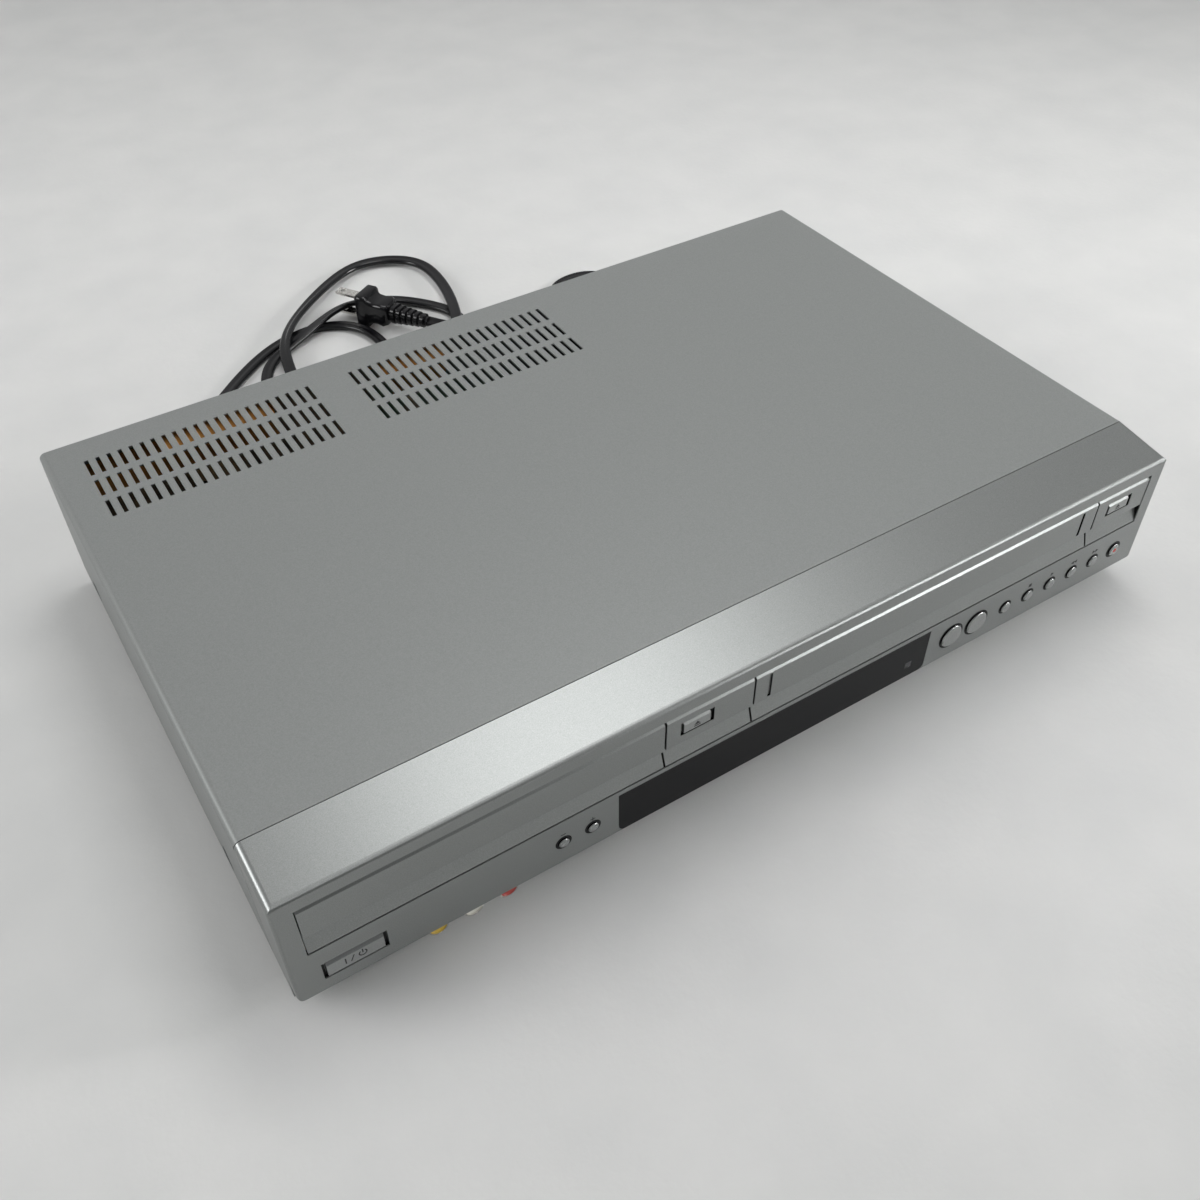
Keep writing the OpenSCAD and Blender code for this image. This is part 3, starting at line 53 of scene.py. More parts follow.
CAMERA_PLACE = (-0.23288, -0.37416, 0.41449)
CAMERA_RIGHT = (0.84392, -0.53640, -0.00903)
CAMERA_BACK = (-0.37763, -0.60591, 0.70019)
SENSOR_WIDTH_MM = 36.0
LENS_MM = 36.43

camera_data = bpy.data.cameras.new("camera")
camera = bpy.data.objects.new("camera", camera_data)
bpy.context.scene.collection.objects.link(camera)
bpy.context.scene.camera = camera
camera_data.sensor_fit = "HORIZONTAL"
camera_data.sensor_width = SENSOR_WIDTH_MM
camera_data.lens = LENS_MM
camera_data.clip_start = 0.01
sight_right = Vector(CAMERA_RIGHT).normalized()
sight_back = Vector(CAMERA_BACK).normalized()
sight_up = sight_back.cross(sight_right).normalized()
camera.matrix_world = (
    Matrix.Translation(CAMERA_PLACE)
    @ Matrix((sight_right, sight_up, sight_back)).transposed().to_4x4()
)


# ---- Mains cord ----
# A flat two-core mains lead, 1.55 m of satin black vinyl. It leaves a moulded strain relief low in
# the rear panel, runs along the back and lies in loose loops on the table with its plug.

CORD_ROUTE_MM = [
    (-150, 170, 22), (-148, 192, 8.5), (-134, 209, 3.2), (-108, 208, 2.1), (-62, 181, 2),
    (6, 173, 2.1), (45, 236, 5.8), (61, 292, 5.1), (56, 329, 4), (21, 342, 4),
    (-27, 309, 5.6), (-56, 271, 7.6), (-68, 222, 6.2), (-86, 186, 6.2), (-114, 184, 6.8),
    (-129, 209, 7.1), (-102, 248, 2.7), (-62, 280, 1.9), (-26, 287, 1.9), (-5, 267, 3.4),
    (-4, 230, 2.4), (-28, 200, 1.9), (-62, 202, 1.9), (-80, 230, 1.9), (-70, 262, 2.2),
    (-39, 280, 4.8), (-6, 292, 8.3), (27, 288, 3.6), (52, 258, 1.9), (50, 220, 1.9),
    (64, 192, 1.8), (92, 190, 1.8), (108, 220, 1.8), (124, 248, 1.8), (150, 249, 1.9),
    (164, 222, 3.2), (144, 199, 5), (98, 202, 6.6), (50, 217, 9.8), (28, 241, 11.1),
]
CORE_RADIUS = 0.0017
CORE_SPACING = 0.0038
CORE_SWEEP = 134        # degrees of a core's round outside, either way from the cord's edge
CORE_POINTS = 9
LYING_HEIGHT = 0.003    # above it the cord is off the table, and rolls by up to ROLL degrees
ROLL = 24
ROLL_TURNS = 40         # radians of the roll's wave along the whole cord


def new_mesh_object(name, mesh):
    made = bpy.data.objects.new(name, mesh)
    bpy.context.scene.collection.objects.link(made)
    return made


def closed_piece(name, shape):
    """The object of a shape that its faces close, with every face turned outwards."""
    bmesh.ops.recalc_face_normals(shape, faces=shape.faces)
    mesh = bpy.data.meshes.new(name)
    shape.to_mesh(mesh)
    shape.free()
    return new_mesh_object(name, mesh)


def add_skin(shape, rings, endless=False):
    """Faces over a row of rings of points, capped at both ends or, if endless, joined up."""
    rows = [[shape.verts.new(point) for point in ring] for ring in rings]
    count = len(rows[0])
    for near, far in zip(rows, rows[1:] + rows[:1] if endless else rows[1:]):
        for k in range(count):
            m = (k + 1) % count
            shape.faces.new((near[k], near[m], far[m], far[k]))
    if not endless:
        shape.faces.new(rows[0][::-1])
        shape.faces.new(rows[-1])


def smooth_shaded(piece, angle):
    """Smooth shading that keeps the edges sharper than angle."""
    piece.data.shade_smooth()
    piece.data.set_sharp_from_angle(angle=math.radians(angle))
    return piece


def new_finish(name, colour, roughness, metallic=0.0, **sockets):
    """A material with one shader. sockets are its other inputs, with _ for a space."""
    finish = bpy.data.materials.new(name)
    finish.use_nodes = True
    shader = finish.node_tree.nodes["Principled BSDF"]
    shader.inputs["Base Color"].default_value = (*colour, 1)
    shader.inputs["Roughness"].default_value = roughness
    shader.inputs["Metallic"].default_value = metallic
    for socket, value in sockets.items():
        shader.inputs[socket.replace("_", " ")].default_value = value
    finish.diffuse_color = (*colour, 1)
    return finish


def to_shader(finish, output, socket):
    finish.node_tree.links.new(
        output, finish.node_tree.nodes["Principled BSDF"].inputs[socket]
    )
    return finish


def soft_noise(finish, size, detail, squeeze=None):
    """A random shade in patches of that size. squeeze scales it along x, y and z."""
    tree = finish.node_tree
    place = tree.nodes.new("ShaderNodeTexCoord").outputs["Object"]
    noise = tree.nodes.new("ShaderNodeTexNoise")
    noise.inputs["Scale"].default_value = 1 / size
    noise.inputs["Detail"].default_value = detail
    if squeeze:
        stretch = tree.nodes.new("ShaderNodeMapping")
        stretch.inputs["Scale"].default_value = squeeze
        tree.links.new(place, stretch.inputs["Vector"])
        place = stretch.outputs["Vector"]
    tree.links.new(place, noise.inputs["Vector"])
    return noise.outputs["Fac"]


def mottled(finish, dark, light, size, spread=0.5, detail=4.0, squeeze=None):
    """The finish's colour wanders between dark and light in patches of that size."""
    tree = finish.node_tree
    ramp = tree.nodes.new("ShaderNodeValToRGB")
    for stop, side, colour in zip(ramp.color_ramp.elements, (-1, 1), (dark, light)):
        stop.position = 0.5 + side * spread / 2
        stop.color = (*colour, 1)
    tree.links.new(soft_noise(finish, size, detail, squeeze), ramp.inputs["Fac"])
    return to_shader(finish, ramp.outputs["Color"], "Base Color")


def uneven_gloss(finish, low, high, size):
    """The finish's roughness wanders between low and high, as hands and wear leave it."""
    tree = finish.node_tree
    spread = tree.nodes.new("ShaderNodeMapRange")
    for socket, value in (
        ("From Min", 0.3), ("From Max", 0.7), ("To Min", low), ("To Max", high),
    ):
        spread.inputs[socket].default_value = value
    tree.links.new(soft_noise(finish, size, 5.0), spread.inputs["Value"])
    return to_shader(finish, spread.outputs["Result"], "Roughness")


def grained(finish, size, height):
    """A fine raised grain, size across and height deep, both in metres."""
    tree = finish.node_tree
    bump = tree.nodes.new("ShaderNodeBump")
    bump.inputs["Strength"].default_value = 1.0
    bump.inputs["Distance"].default_value = height
    tree.links.new(soft_noise(finish, size, 3.0), bump.inputs["Height"])
    return to_shader(finish, bump.outputs["Normal"], "Normal")


def in_metres(points):
    return [Vector(point) / 1000 for point in points]


def smooth_route(points, steps):
    """A smooth line through points, with steps stretches between each two of them."""
    line = []
    for i in range(len(points) - 1):
        a, b = points[max(i - 1, 0)], points[i]
        c, d = points[i + 1], points[min(i + 2, len(points) - 1)]
        for k in range(steps):
            t = k / steps
            line.append(
                0.5 * (2 * b + (c - a) * t + (2 * a - 5 * b + 4 * c - d) * t**2
                       + (3 * b - a - 3 * c + d) * t**3)
            )
    line.append(points[-1])
    return line


def eased_route(line, passes):
    """Each inner point moves halfway to the middle of its neighbours, to even out the bends."""
    for _ in range(passes):
        line = [line[0]] + [
            (here + (before + after) / 2) / 2
            for before, here, after in zip(line, line[1:], line[2:])
        ] + [line[-1]]
    return line


def tube_along(name, line, outline_at):
    """A closed tube. outline_at(i, share) gives the (sideways, upwards) points of its section."""
    rings = []
    for i, centre in enumerate(line):
        heading = (line[min(i + 1, len(line) - 1)] - line[max(i - 1, 0)]).normalized()
        side = heading.cross(Vector((0, 0, 1))).normalized()
        up = side.cross(heading)
        rings.append(
            [centre + side * s + up * u for s, u in outline_at(i, i / (len(line) - 1))]
        )
    shape = bmesh.new()
    add_skin(shape, rings)
    return closed_piece(name, shape)


cord_line = eased_route(smooth_route(in_metres(CORD_ROUTE_MM), steps=10), passes=6)


def cord_outline(i, share):
    """Two round cores side by side with a shallow groove between them, rolled off the table."""
    outline = []
    for side in (1, -1):
        for k in range(CORE_POINTS):
            angle = math.radians(CORE_SWEEP * (2 * k / (CORE_POINTS - 1) - 1))
            across = side * (CORE_SPACING / 2 + CORE_RADIUS * math.cos(angle))
            outline.append((across, side * CORE_RADIUS * math.sin(angle)))
    lift = max(0.0, min(1.0, cord_line[i].z / LYING_HEIGHT - 1))
    roll = Matrix.Rotation(math.radians(ROLL) * lift * math.sin(share * ROLL_TURNS), 2)
    return [tuple(roll @ Vector(point)) for point in outline]


vinyl = new_finish("cord_vinyl", (0.006, 0.006, 0.007), 0.18, Specular_IOR_Level=0.34)
mottled(vinyl, (0.004, 0.004, 0.005), (0.010, 0.010, 0.011), 0.03)
uneven_gloss(vinyl, 0.12, 0.24, 0.012)
cord = smooth_shaded(tube_along("lead", cord_line, cord_outline), angle=70)
cord.data.materials.append(vinyl)
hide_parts("mains_cord")
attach(cord, "case")


# ---- Strain relief ----
# The moulded vinyl bush that holds the cord in the rear panel: a round collar, then a ribbed neck
# that bends down with the cord and thins to the cord's own width.

RELIEF_ROUTE_MM = [
    (-150, 133.8, 30), (-150, 143.6, 29.8), (-150, 153.6, 28.9), (-150, 161, 26), CORD_ROUTE_MM[0],
]
NECK_ROOT = (0.0044, 0.0042)    # half the neck's width and height at the panel
NECK_TAPER = (0.0012, 0.0020)   # what both lose towards the cord
NECK_CORNER = 0.0028
NECK_GROOVE = 0.0006
NECK_GROOVED = (0.12, 0.92)     # the share of the neck that has grooves
GROOVE_EVERY = 5                # sections of the neck, of which a groove takes GROOVE_TAKES
GROOVE_TAKES = 2
HARD_EDGE = 35                  # degrees; a moulding's edges sharper than that stay crisp
PANEL_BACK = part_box("rear_panel")[1].y
# The collar's sections, each its distance from the panel and its radius.
COLLAR = [(0.0002, 0.0072), (0.0004, 0.0072), (0.0023, 0.0072), (0.0027, 0.0068), (0.0030, 0.0056)]


def rounded_outline(half_width, half_height, corner, count=6):
    """The points of a rectangle with rounded corners, each of count stretches."""
    corner = min(corner, half_width, half_height)
    outline = []
    for quarter, (sx, sz) in enumerate(((1, 1), (-1, 1), (-1, -1), (1, -1))):
        for k in range(count + 1):
            angle = math.radians(90 * (quarter + k / count))
            outline.append(
                (sx * (half_width - corner) + corner * math.cos(angle),
                 sz * (half_height - corner) + corner * math.sin(angle))
            )
    return outline


def neck_outline(i, share):
    """Wide flat rings with narrow grooves between them, but not at the neck's two ends."""
    grooved = NECK_GROOVED[0] < share < NECK_GROOVED[1] and i % GROOVE_EVERY < GROOVE_TAKES
    wide, tall = (
        root - taper * share - (NECK_GROOVE if grooved else 0)
        for root, taper in zip(NECK_ROOT, NECK_TAPER)
    )
    return rounded_outline(wide, tall, NECK_CORNER)


def collar_outline(i, share):
    radius = COLLAR[i][1]
    return rounded_outline(radius, radius, radius, 8)


neck_line = smooth_route(in_metres(RELIEF_ROUTE_MM), steps=14)
collar_line = [Vector((neck_line[0].x, PANEL_BACK + step, neck_line[0].z)) for step, _ in COLLAR]
relief = tube_along("strain_relief", neck_line, neck_outline)
relief_collar = tube_along("relief_collar", collar_line, collar_outline)
for piece in (relief, relief_collar):
    smooth_shaded(piece, HARD_EDGE)
    piece.data.materials.append(vinyl)
    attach(piece, "case")
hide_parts("cord_bush")


# ---- Plug ----
# A moulded two-blade plug on its side: a flat front flange, a waisted grip and a ribbed tapering
# neck, all in the cord's vinyl, with two nickel-plated blades that have a hole near their tips.

PLUG_ROOT = in_metres(CORD_ROUTE_MM)[-1]
PLUG_TURN = math.radians(123)
RIB_COUNT = 6
RIB_START = 0.0022
RIB_PITCH = 0.0040
RIB_WIDTH = 0.0027
RIB_EDGE = 0.0003
RIB_HEIGHT = 0.0013
RIB_RADIUS = 0.0042
RIB_GROWTH = 0.00028    # each rib is this much wider than the one before
EASED_EDGE = 32         # degrees; a part's edges sharper than that are rounded a little

# Each section is the distance from the cord's end, half its width, half its height and its corners.
plug_sections = [(0.0, 0.0036, 0.0030, 0.003)]
for rib in range(RIB_COUNT):
    start = RIB_START + rib * RIB_PITCH
    top = RIB_RADIUS + rib * RIB_GROWTH
    foot = top - RIB_HEIGHT
    plug_sections += [
        (start, foot, foot, 0.0030), (start + RIB_EDGE, top, top, 0.0036),
        (start + RIB_WIDTH - RIB_EDGE, top, top, 0.0036), (start + RIB_WIDTH, foot, foot, 0.0030),
    ]
plug_sections += [
    # The grip, with its waist.
    (0.0262, 0.0044, 0.0046, 0.0034), (0.0275, 0.0070, 0.0068, 0.0030),
    (0.0300, 0.0080, 0.0076, 0.0026), (0.0340, 0.0073, 0.0071, 0.0024),
    (0.0382, 0.0074, 0.0074, 0.0024), (0.0402, 0.0079, 0.0084, 0.0024),
    # The flange.
    (0.0411, 0.0087, 0.0105, 0.0024), (0.0420, 0.0090, 0.0110, 0.0024),
    (0.0469, 0.0090, 0.0110, 0.0024), (0.0477, 0.0086, 0.0106, 0.0022),
    (0.0480, 0.0076, 0.0096, 0.0020),
]
plug_place = Matrix.Translation(PLUG_ROOT) @ Matrix.Rotation(PLUG_TURN, 4, "Z")
plug = tube_along(
    "plug_moulding",
    [plug_place @ Vector((distance, 0, 0)) for distance, *_ in plug_sections],
    lambda i, share: rounded_outline(*plug_sections[i][1:]),
)
smooth_shaded(plug, HARD_EDGE)
plug.data.materials.append(vinyl)
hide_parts("plug_body")
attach(plug, "case")


def eased_edges(part, width):
    """A fine rounding on a part's sharp edges, as tools and moulds leave it."""
    bevel = part.modifiers.new("eased", "BEVEL")
    bevel.width = width
    bevel.segments = 2
    bevel.limit_method = "ANGLE"
    bevel.angle_limit = math.radians(EASED_EDGE)
    crisp = part.modifiers.new("crisp", "WEIGHTED_NORMAL")
    crisp.keep_sharp = True
    crisp.weight = 100


def dress(name, finish, ease=0.0):
    """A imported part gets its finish, and an edge rounding where ease is more than zero."""
    part = parts[name]
    part.data.materials.clear()
    part.data.materials.append(finish)
    if ease:
        eased_edges(part, ease)


nickel = new_finish("nickel_plate", (0.80, 0.78, 0.74), 0.22, 1.0)
mottled(nickel, (0.72, 0.70, 0.66), (0.86, 0.85, 0.81), 0.004)
uneven_gloss(nickel, 0.14, 0.34, 0.003)
dress("plug_blades", nickel, 0.0003)


# ---- Table and lights ----
# A wide pale table top in a room that is brightest overhead and behind. Five soft lamps hang round
# it: one above, two before the front that draw its edges, and one on either side. None of them
# belongs to the player.

TABLE_HALF = 6.0
BRIGHT_SIDE = (0.20, 0.50, 0.84)
SKY_DIM = (0.10, 0.105, 0.105)
SKY_BRIGHT = (0.50, 0.50, 0.50)

table_finish = new_finish("table_top", (0.61, 0.61, 0.60), 0.8)
mottled(table_finish, (0.57, 0.575, 0.57), (0.64, 0.64, 0.63), 0.05, 0.7)
grained(table_finish, 0.004, 0.00012)
table_mesh = bpy.data.meshes.new("table_top")
table_mesh.from_pydata(
    [(x * TABLE_HALF, y * TABLE_HALF, 0) for x, y in ((-1, -1), (1, -1), (1, 1), (-1, 1))],
    [], [(0, 1, 2, 3)],
)
table = new_mesh_object("table_top", table_mesh)
table_mesh.materials.append(table_finish)

room = bpy.data.worlds.new("room")
bpy.context.scene.world = room
room.use_nodes = True
room_tree = room.node_tree
sky_place = room_tree.nodes.new("ShaderNodeTexCoord")
sky_angle = room_tree.nodes.new("ShaderNodeVectorMath")
sky_ramp = room_tree.nodes.new("ShaderNodeValToRGB")
sky_angle.operation = "DOT_PRODUCT"
sky_angle.inputs[1].default_value = Vector(BRIGHT_SIDE).normalized()
sky_ramp.color_ramp.interpolation = "EASE"
for stop, height, colour in zip(sky_ramp.color_ramp.elements, (0.0, 1.0), (SKY_DIM, SKY_BRIGHT)):
    stop.position = height
    stop.color = (*colour, 1)
room_tree.links.new(sky_place.outputs["Generated"], sky_angle.inputs[0])
room_tree.links.new(sky_angle.outputs["Value"], sky_ramp.inputs["Fac"])
room_tree.links.new(sky_ramp.outputs["Color"], room_tree.nodes["Background"].inputs["Color"])
room_tree.nodes["Background"].inputs["Strength"].default_value = 1.0


def soft_lamp(name, place, target, size, power, spread):
    """A rectangular lamp that is aimed at target."""
    lamp_data = bpy.data.lights.new(name, "AREA")
    lamp_data.shape = "RECTANGLE"
    lamp_data.size, lamp_data.size_y = size
    lamp_data.energy = power
    lamp_data.spread = math.radians(spread)
    lamp = bpy.data.objects.new(name, lamp_data)
    bpy.context.scene.collection.objects.link(lamp)
    lamp.location = place
    lamp.rotation_euler = (Vector(target) - Vector(place)).to_track_quat("-Z", "Y").to_euler()


# Each lamp is its name, its place, what it is aimed at, its size, its power in watts and the cone
# of its light in degrees.
for lamp in (
    ("ceiling_lamp", (0.31, 0.20, 1.25), (0.31, 0.20, 0), (0.58, 0.7), 5.9, 180),
    ("front_lamp", (0.85, -1.15, 0.45), (0.15, -0.14, 0.04), (0.45, 0.12), 0.55, 60),
    ("edge_lamp", (-0.05, -0.75, 1.2), (-0.05, -0.13, 0.07), (1.0, 0.25), 1.5, 180),
    ("right_lamp", (2.0, -0.85, 0.7), (0.5, 0.0, 0), (0.6, 0.6), 2.3, 42),
    ("left_lamp", (-1.5, 0.6, 0.9), (-0.4, 0, 0), (0.9, 0.7), 14.5, 180),
):
    soft_lamp(*lamp)

bpy.context.scene.view_settings.view_transform = "Standard"


# ---- Top cover ----
# The folded steel cover, in a satin metallic grey paint with a very fine flake and a light orange
# peel. It wraps over both sides, is open at the bottom, and is held by seven black zinc screws.

cover_paint = new_finish("cover_paint", (0.23, 0.24, 0.235), 0.45, 0.3)
mottled(cover_paint, (0.20, 0.21, 0.205), (0.26, 0.27, 0.265), 0.00045, 0.6, 2.0)
grained(cover_paint, 0.0009, 0.00001)
dress("top_cover", cover_paint, 0.0002)

screw_zinc = new_finish("black_zinc", (0.06, 0.06, 0.065), 0.35, 0.8)
uneven_gloss(screw_zinc, 0.25, 0.5, 0.002)
dress("case_screws", screw_zinc, 0.0002)


# ---- Front moulding ----
# One piece of plastic in a bright metallic silver, hooked into the cover: a sloping strip on top,
# the face with its band of doors, and a skirt set back below. Both doors have the same finish. The
# display window is a smoked acrylic sheet in its opening.

FACE_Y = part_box("front_bezel")[0].y
GAP_SHADE_DEPTH = 0.00045   # how far into a gap the silver reaches before the painted shade starts
SIDEWAYS = 0.9          # a wall faces sideways, or up or down, by more than these, of 1
LEVEL = 0.97
PAST_DOORS = 0.00195    # from the doors' outer ends to where their gaps end
OVER_DOORS = 0.00115
door_low, door_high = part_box("tray_door")
GAPS_WITHIN = PAST_DOORS - door_low.x
GAPS_BELOW = door_high.z + OVER_DOORS


def axes_of(finish, space="Object"):
    """The x, y and z of a point of the piece, or of its surface's direction in Normal space."""
    tree = finish.node_tree
    place = tree.nodes.new("ShaderNodeTexCoord")
    axes = tree.nodes.new("ShaderNodeSeparateXYZ")
    tree.links.new(place.outputs[space], axes.inputs["Vector"])
    return axes.outputs


def reckoned(finish, operation, *values):
    """One step of arithmetic on a material's sockets and on numbers."""
    step = finish.node_tree.nodes.new("ShaderNodeMath")
    step.operation = operation
    for value, socket in zip(values, step.inputs):
        if isinstance(value, bpy.types.NodeSocket):
            finish.node_tree.links.new(value, socket)
        else:
            socket.default_value = value
    return step.outputs["Value"]


def painted_where(finish, mask, colour):
    """Another colour over what the finish has so far, where mask is one."""
    tree = finish.node_tree
    blend = tree.nodes.new("ShaderNodeMix")
    blend.data_type = "RGBA"
    blend.inputs["B"].default_value = (*colour, 1)
    tree.links.new(mask, blend.inputs["Factor"])
    first = tree.nodes["Principled BSDF"].inputs["Base Color"].links[0].from_socket
    tree.links.new(first, blend.inputs["A"])
    return to_shader(finish, blend.outputs["Result"], "Base Color")


def painted_gap_shade(finish, dark):
    """Painted shade: the side walls and floors deep in the gaps and pockets are coloured
    near-black, for the shade there.
    """
    def step(operation, *values):
        return reckoned(finish, operation, *values)

    place, facing = axes_of(finish), axes_of(finish, "Normal")
    sideways = step("GREATER_THAN", step("ABSOLUTE", facing["X"]), SIDEWAYS)
    level = step("GREATER_THAN", step("ABSOLUTE", facing["Z"]), LEVEL)
    wall = step("MAXIMUM", sideways, level)
    for limit in (
        step("GREATER_THAN", place["Y"], FACE_Y + GAP_SHADE_DEPTH),
        step("LESS_THAN", place["Z"], GAPS_BELOW),
        step("LESS_THAN", step("ABSOLUTE", place["X"]), GAPS_WITHIN),
    ):
        wall = step("MULTIPLY", wall, limit)
    return painted_where(finish, wall, dark)


silver = new_finish("front_silver", (0.25, 0.26, 0.255), 0.33, 0.7)
mottled(silver, (0.21, 0.22, 0.215), (0.29, 0.30, 0.295), 0.00035, 0.5, 2.0)
# Painted shade: the walls deep in the gaps and pockets turn near-black.
painted_gap_shade(silver, (0.006, 0.006, 0.006))
grained(silver, 0.0006, 0.000006)
for name, ease in (("front_bezel", 0.00018), ("tray_door", 0.0002), ("cassette_flap", 0.0002)):
    dress(name, silver, ease)

smoked = new_finish("smoked_window", (0.004, 0.004, 0.005), 0.1, Specular_IOR_Level=0.14)
uneven_gloss(smoked, 0.05, 0.12, 0.02)
dress("display_window", smoked)


# ---- Buttons ----
# Thirteen moulded caps in the same silver, a little glossier than the face, that press switches on
# the front board. The round ones stand a millimetre proud, with a flange that keeps them in. Their
# side walls are near-black painted shade, and a near-black ring of painted shade lies in the face
# round each.

CAP_PROUD = 0.0010
CAP_SHADE_HEIGHT = 0.00055   # the height over the face below which a cap's side wall is near-black painted shade
CAP_FLANGE = 0.0012
FLANGE_DEPTH = 0.0029
FLANGE_THICK = 0.0010
STEM_RADIUS = 0.0014
STEM_DEPTH = 0.0100
AXIS_GAP = 0.0004       # the radius of the small flat on the axis at both of a cap's ends
SHOULDER = 0.0011       # or SHOULDER_SHARE of the cap's radius where that is less
SHOULDER_SHARE = 0.38
SHOULDER_DEPTH = 0.0008
RING_CLEARANCE = 0.00006
RING_LIP = 0.00022
RING_EASE = 0.00008
RING_BACK = 0.00008
RING_DEPTH = 0.0006
shade_ring_widths = {
    "channel_down_button": 0.0012, "channel_up_button": 0.0012,
    "dvd_select_button": 0.0010, "vcr_select_button": 0.0010,
    "input_button": 0.0009, "stop_button": 0.0009, "play_button": 0.0009,
    "rewind_button": 0.0009, "forward_button": 0.0009, "record_button": 0.0013,
}


def two_toned(finish, axis, limit, colour, above=True):
    """The finish turns to another colour beyond a limit on one axis."""
    comparison = "GREATER_THAN" if above else "LESS_THAN"
    beyond = reckoned(finish, comparison, axes_of(finish)[axis], limit)
    return painted_where(finish, beyond, colour)


def middle_of(button):
    """The middle of a button in x and z, to a tenth of a millimetre."""
    low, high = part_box(button)
    return round((low.x + high.x) / 2, 4), round((low.z + high.z) / 2, 4)


def turned(name, middle, profile, endless, count=48):
    """A piece turned round an axis that points backwards. The profile's points are (radius, y)."""
    turns = [2 * math.pi * k / count for k in range(count)]
    shape = bmesh.new()
    add_skin(shape, [
        [(middle[0] + radius * math.cos(a), y, middle[1] + radius * math.sin(a)) for a in turns]
        for radius, y in profile
    ], endless)
    return smooth_shaded(closed_piece(name, shape), HARD_EDGE)


def cap_profile(radius):
    """A flat front, a broad rounded shoulder, a side wall, a flange behind the face and a stem."""
    shoulder = min(SHOULDER, radius * SHOULDER_SHARE)
    front = FACE_Y - CAP_PROUD
    flange_front = FACE_Y + FLANGE_DEPTH
    flange_back = flange_front + FLANGE_THICK
    points = [(AXIS_GAP, front)]
    for angle in range(0, 91, 15):
        turn = math.radians(angle)
        points.append((
            radius - shoulder * (1 - math.sin(turn)), front + SHOULDER_DEPTH * (1 - math.cos(turn)),
        ))
    return points + [
        (radius, flange_front), (radius + CAP_FLANGE, flange_front),
        (radius + CAP_FLANGE, flange_back), (STEM_RADIUS, flange_back),
        (STEM_RADIUS, FACE_Y + STEM_DEPTH), (AXIS_GAP, FACE_Y + STEM_DEPTH),
    ]


def shade_ring_profile(radius, width):
    """A near-black ring of painted shade for the gap round a cap, with eased edges, that stands a
    hair proud of the face, and its lip in the hole.
    """
    inner, outer = radius + RING_CLEARANCE, radius + width
    lip = inner + RING_LIP
    return [(r, FACE_Y + depth) for r, depth in (
        (inner, RING_DEPTH), (inner, 0.00002), (inner + RING_EASE, -0.00003),
        (outer - RING_EASE, -0.00006), (outer, -0.00002), (outer, RING_BACK),
        (lip, RING_BACK), (lip, RING_DEPTH),
    )]


button_silver = new_finish("button_silver", (0.31, 0.32, 0.315), 0.28, 0.7)
mottled(button_silver, (0.28, 0.29, 0.285), (0.34, 0.35, 0.345), 0.0004, 0.5, 2.0)
for name in ("power_button", "dvd_open_button", "tape_eject_button"):
    dress(name, button_silver, 0.0002)
round_silver = new_finish("round_button_silver", (0.33, 0.34, 0.335), 0.22, 0.7)
mottled(round_silver, (0.30, 0.31, 0.305), (0.36, 0.37, 0.365), 0.0004, 0.5, 2.0)
# Painted shade: each round cap's side wall near the face turns near-black.
two_toned(round_silver, "Y", FACE_Y - CAP_SHADE_HEIGHT, (0.006, 0.006, 0.006))
# Painted shade: this near-black stands for the shade in the gaps round the round caps and deep in
# the flat buttons' pockets.
painted_shade_black = new_finish("painted_shade_black", (0.006, 0.006, 0.007), 0.5, Specular_IOR_Level=0.2)
mottled(painted_shade_black, (0.004, 0.004, 0.005), (0.009, 0.009, 0.010), 0.001)
uneven_gloss(painted_shade_black, 0.42, 0.6, 0.002)

for name, width in shade_ring_widths.items():
    low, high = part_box(name)
    radius = round((high.x - low.x) / 2 - CAP_FLANGE, 4)
    cap = turned(name.replace("button", "cap"), middle_of(name), cap_profile(radius), False)
    cap.data.materials.append(round_silver)
    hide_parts(name)
    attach(cap, name)
    ring = turned(
        name.replace("button", "ring"), middle_of(name), shade_ring_profile(radius, width), True
    )
    ring.data.materials.append(painted_shade_black)
    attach(ring, "case")


# ---- Printed marks ----
# Universal symbols printed in dark grey ink on the caps and the face: power, open, minus, plus,
# stop, play, rewind and forward, with a red dot on the record button. The window's dark film is
# made likewise, and so are the near-black bars of painted shade beside the three flat buttons, deep
# in their pockets.

INK_PROUD = 0.00004
INK_DEPTH = 0.00006
HAIR = 0.00002          # what keeps two printed layers apart
POCKET_DEPTH = 0.0016
CHANNEL_RISE = 0.0049   # from a button's middle up to its mark
DECK_RISE = 0.0060
PAIR_SHIFT_MM = 0.95    # either way from the middle of a double arrow
FILM_CORNER_MM = 3
FILM_BELOW_MM = 0.95    # past the window's lower and upper edge
FILM_ABOVE_MM = 0.05
SENSOR_SIDE_MM = 3.5
SENSOR_INSET_MM = (8.4, 4.9)    # from the window's right and lower edge
BAR_GAP_MM = 0.02       # between the bars of a pocket

ink = new_finish("printed_ink", (0.012, 0.012, 0.013), 0.5)
mottled(ink, (0.009, 0.009, 0.010), (0.018, 0.018, 0.019), 0.0006)
red_ink = new_finish("red_ink", (0.42, 0.02, 0.015), 0.4)
mottled(red_ink, (0.36, 0.015, 0.01), (0.48, 0.03, 0.02), 0.0006)
sensor_black = new_finish("sensor_black", (0.025, 0.025, 0.027), 0.3)
uneven_gloss(sensor_black, 0.25, 0.4, 0.003)


def bar(x0, x1, z0, z1):
    return [(x0, z0), (x1, z0), (x1, z1), (x0, z1)]


def arc(radius, start, end, count):
    """The points of an arc round the origin, between two angles in degrees."""
    turns = [math.radians(start + (end - start) * k / count) for k in range(count + 1)]
    return [(radius * math.cos(a), radius * math.sin(a)) for a in turns]


def shifted(outline, dx, dz=0):
    return [(x + dx, z + dz) for x, z in outline]


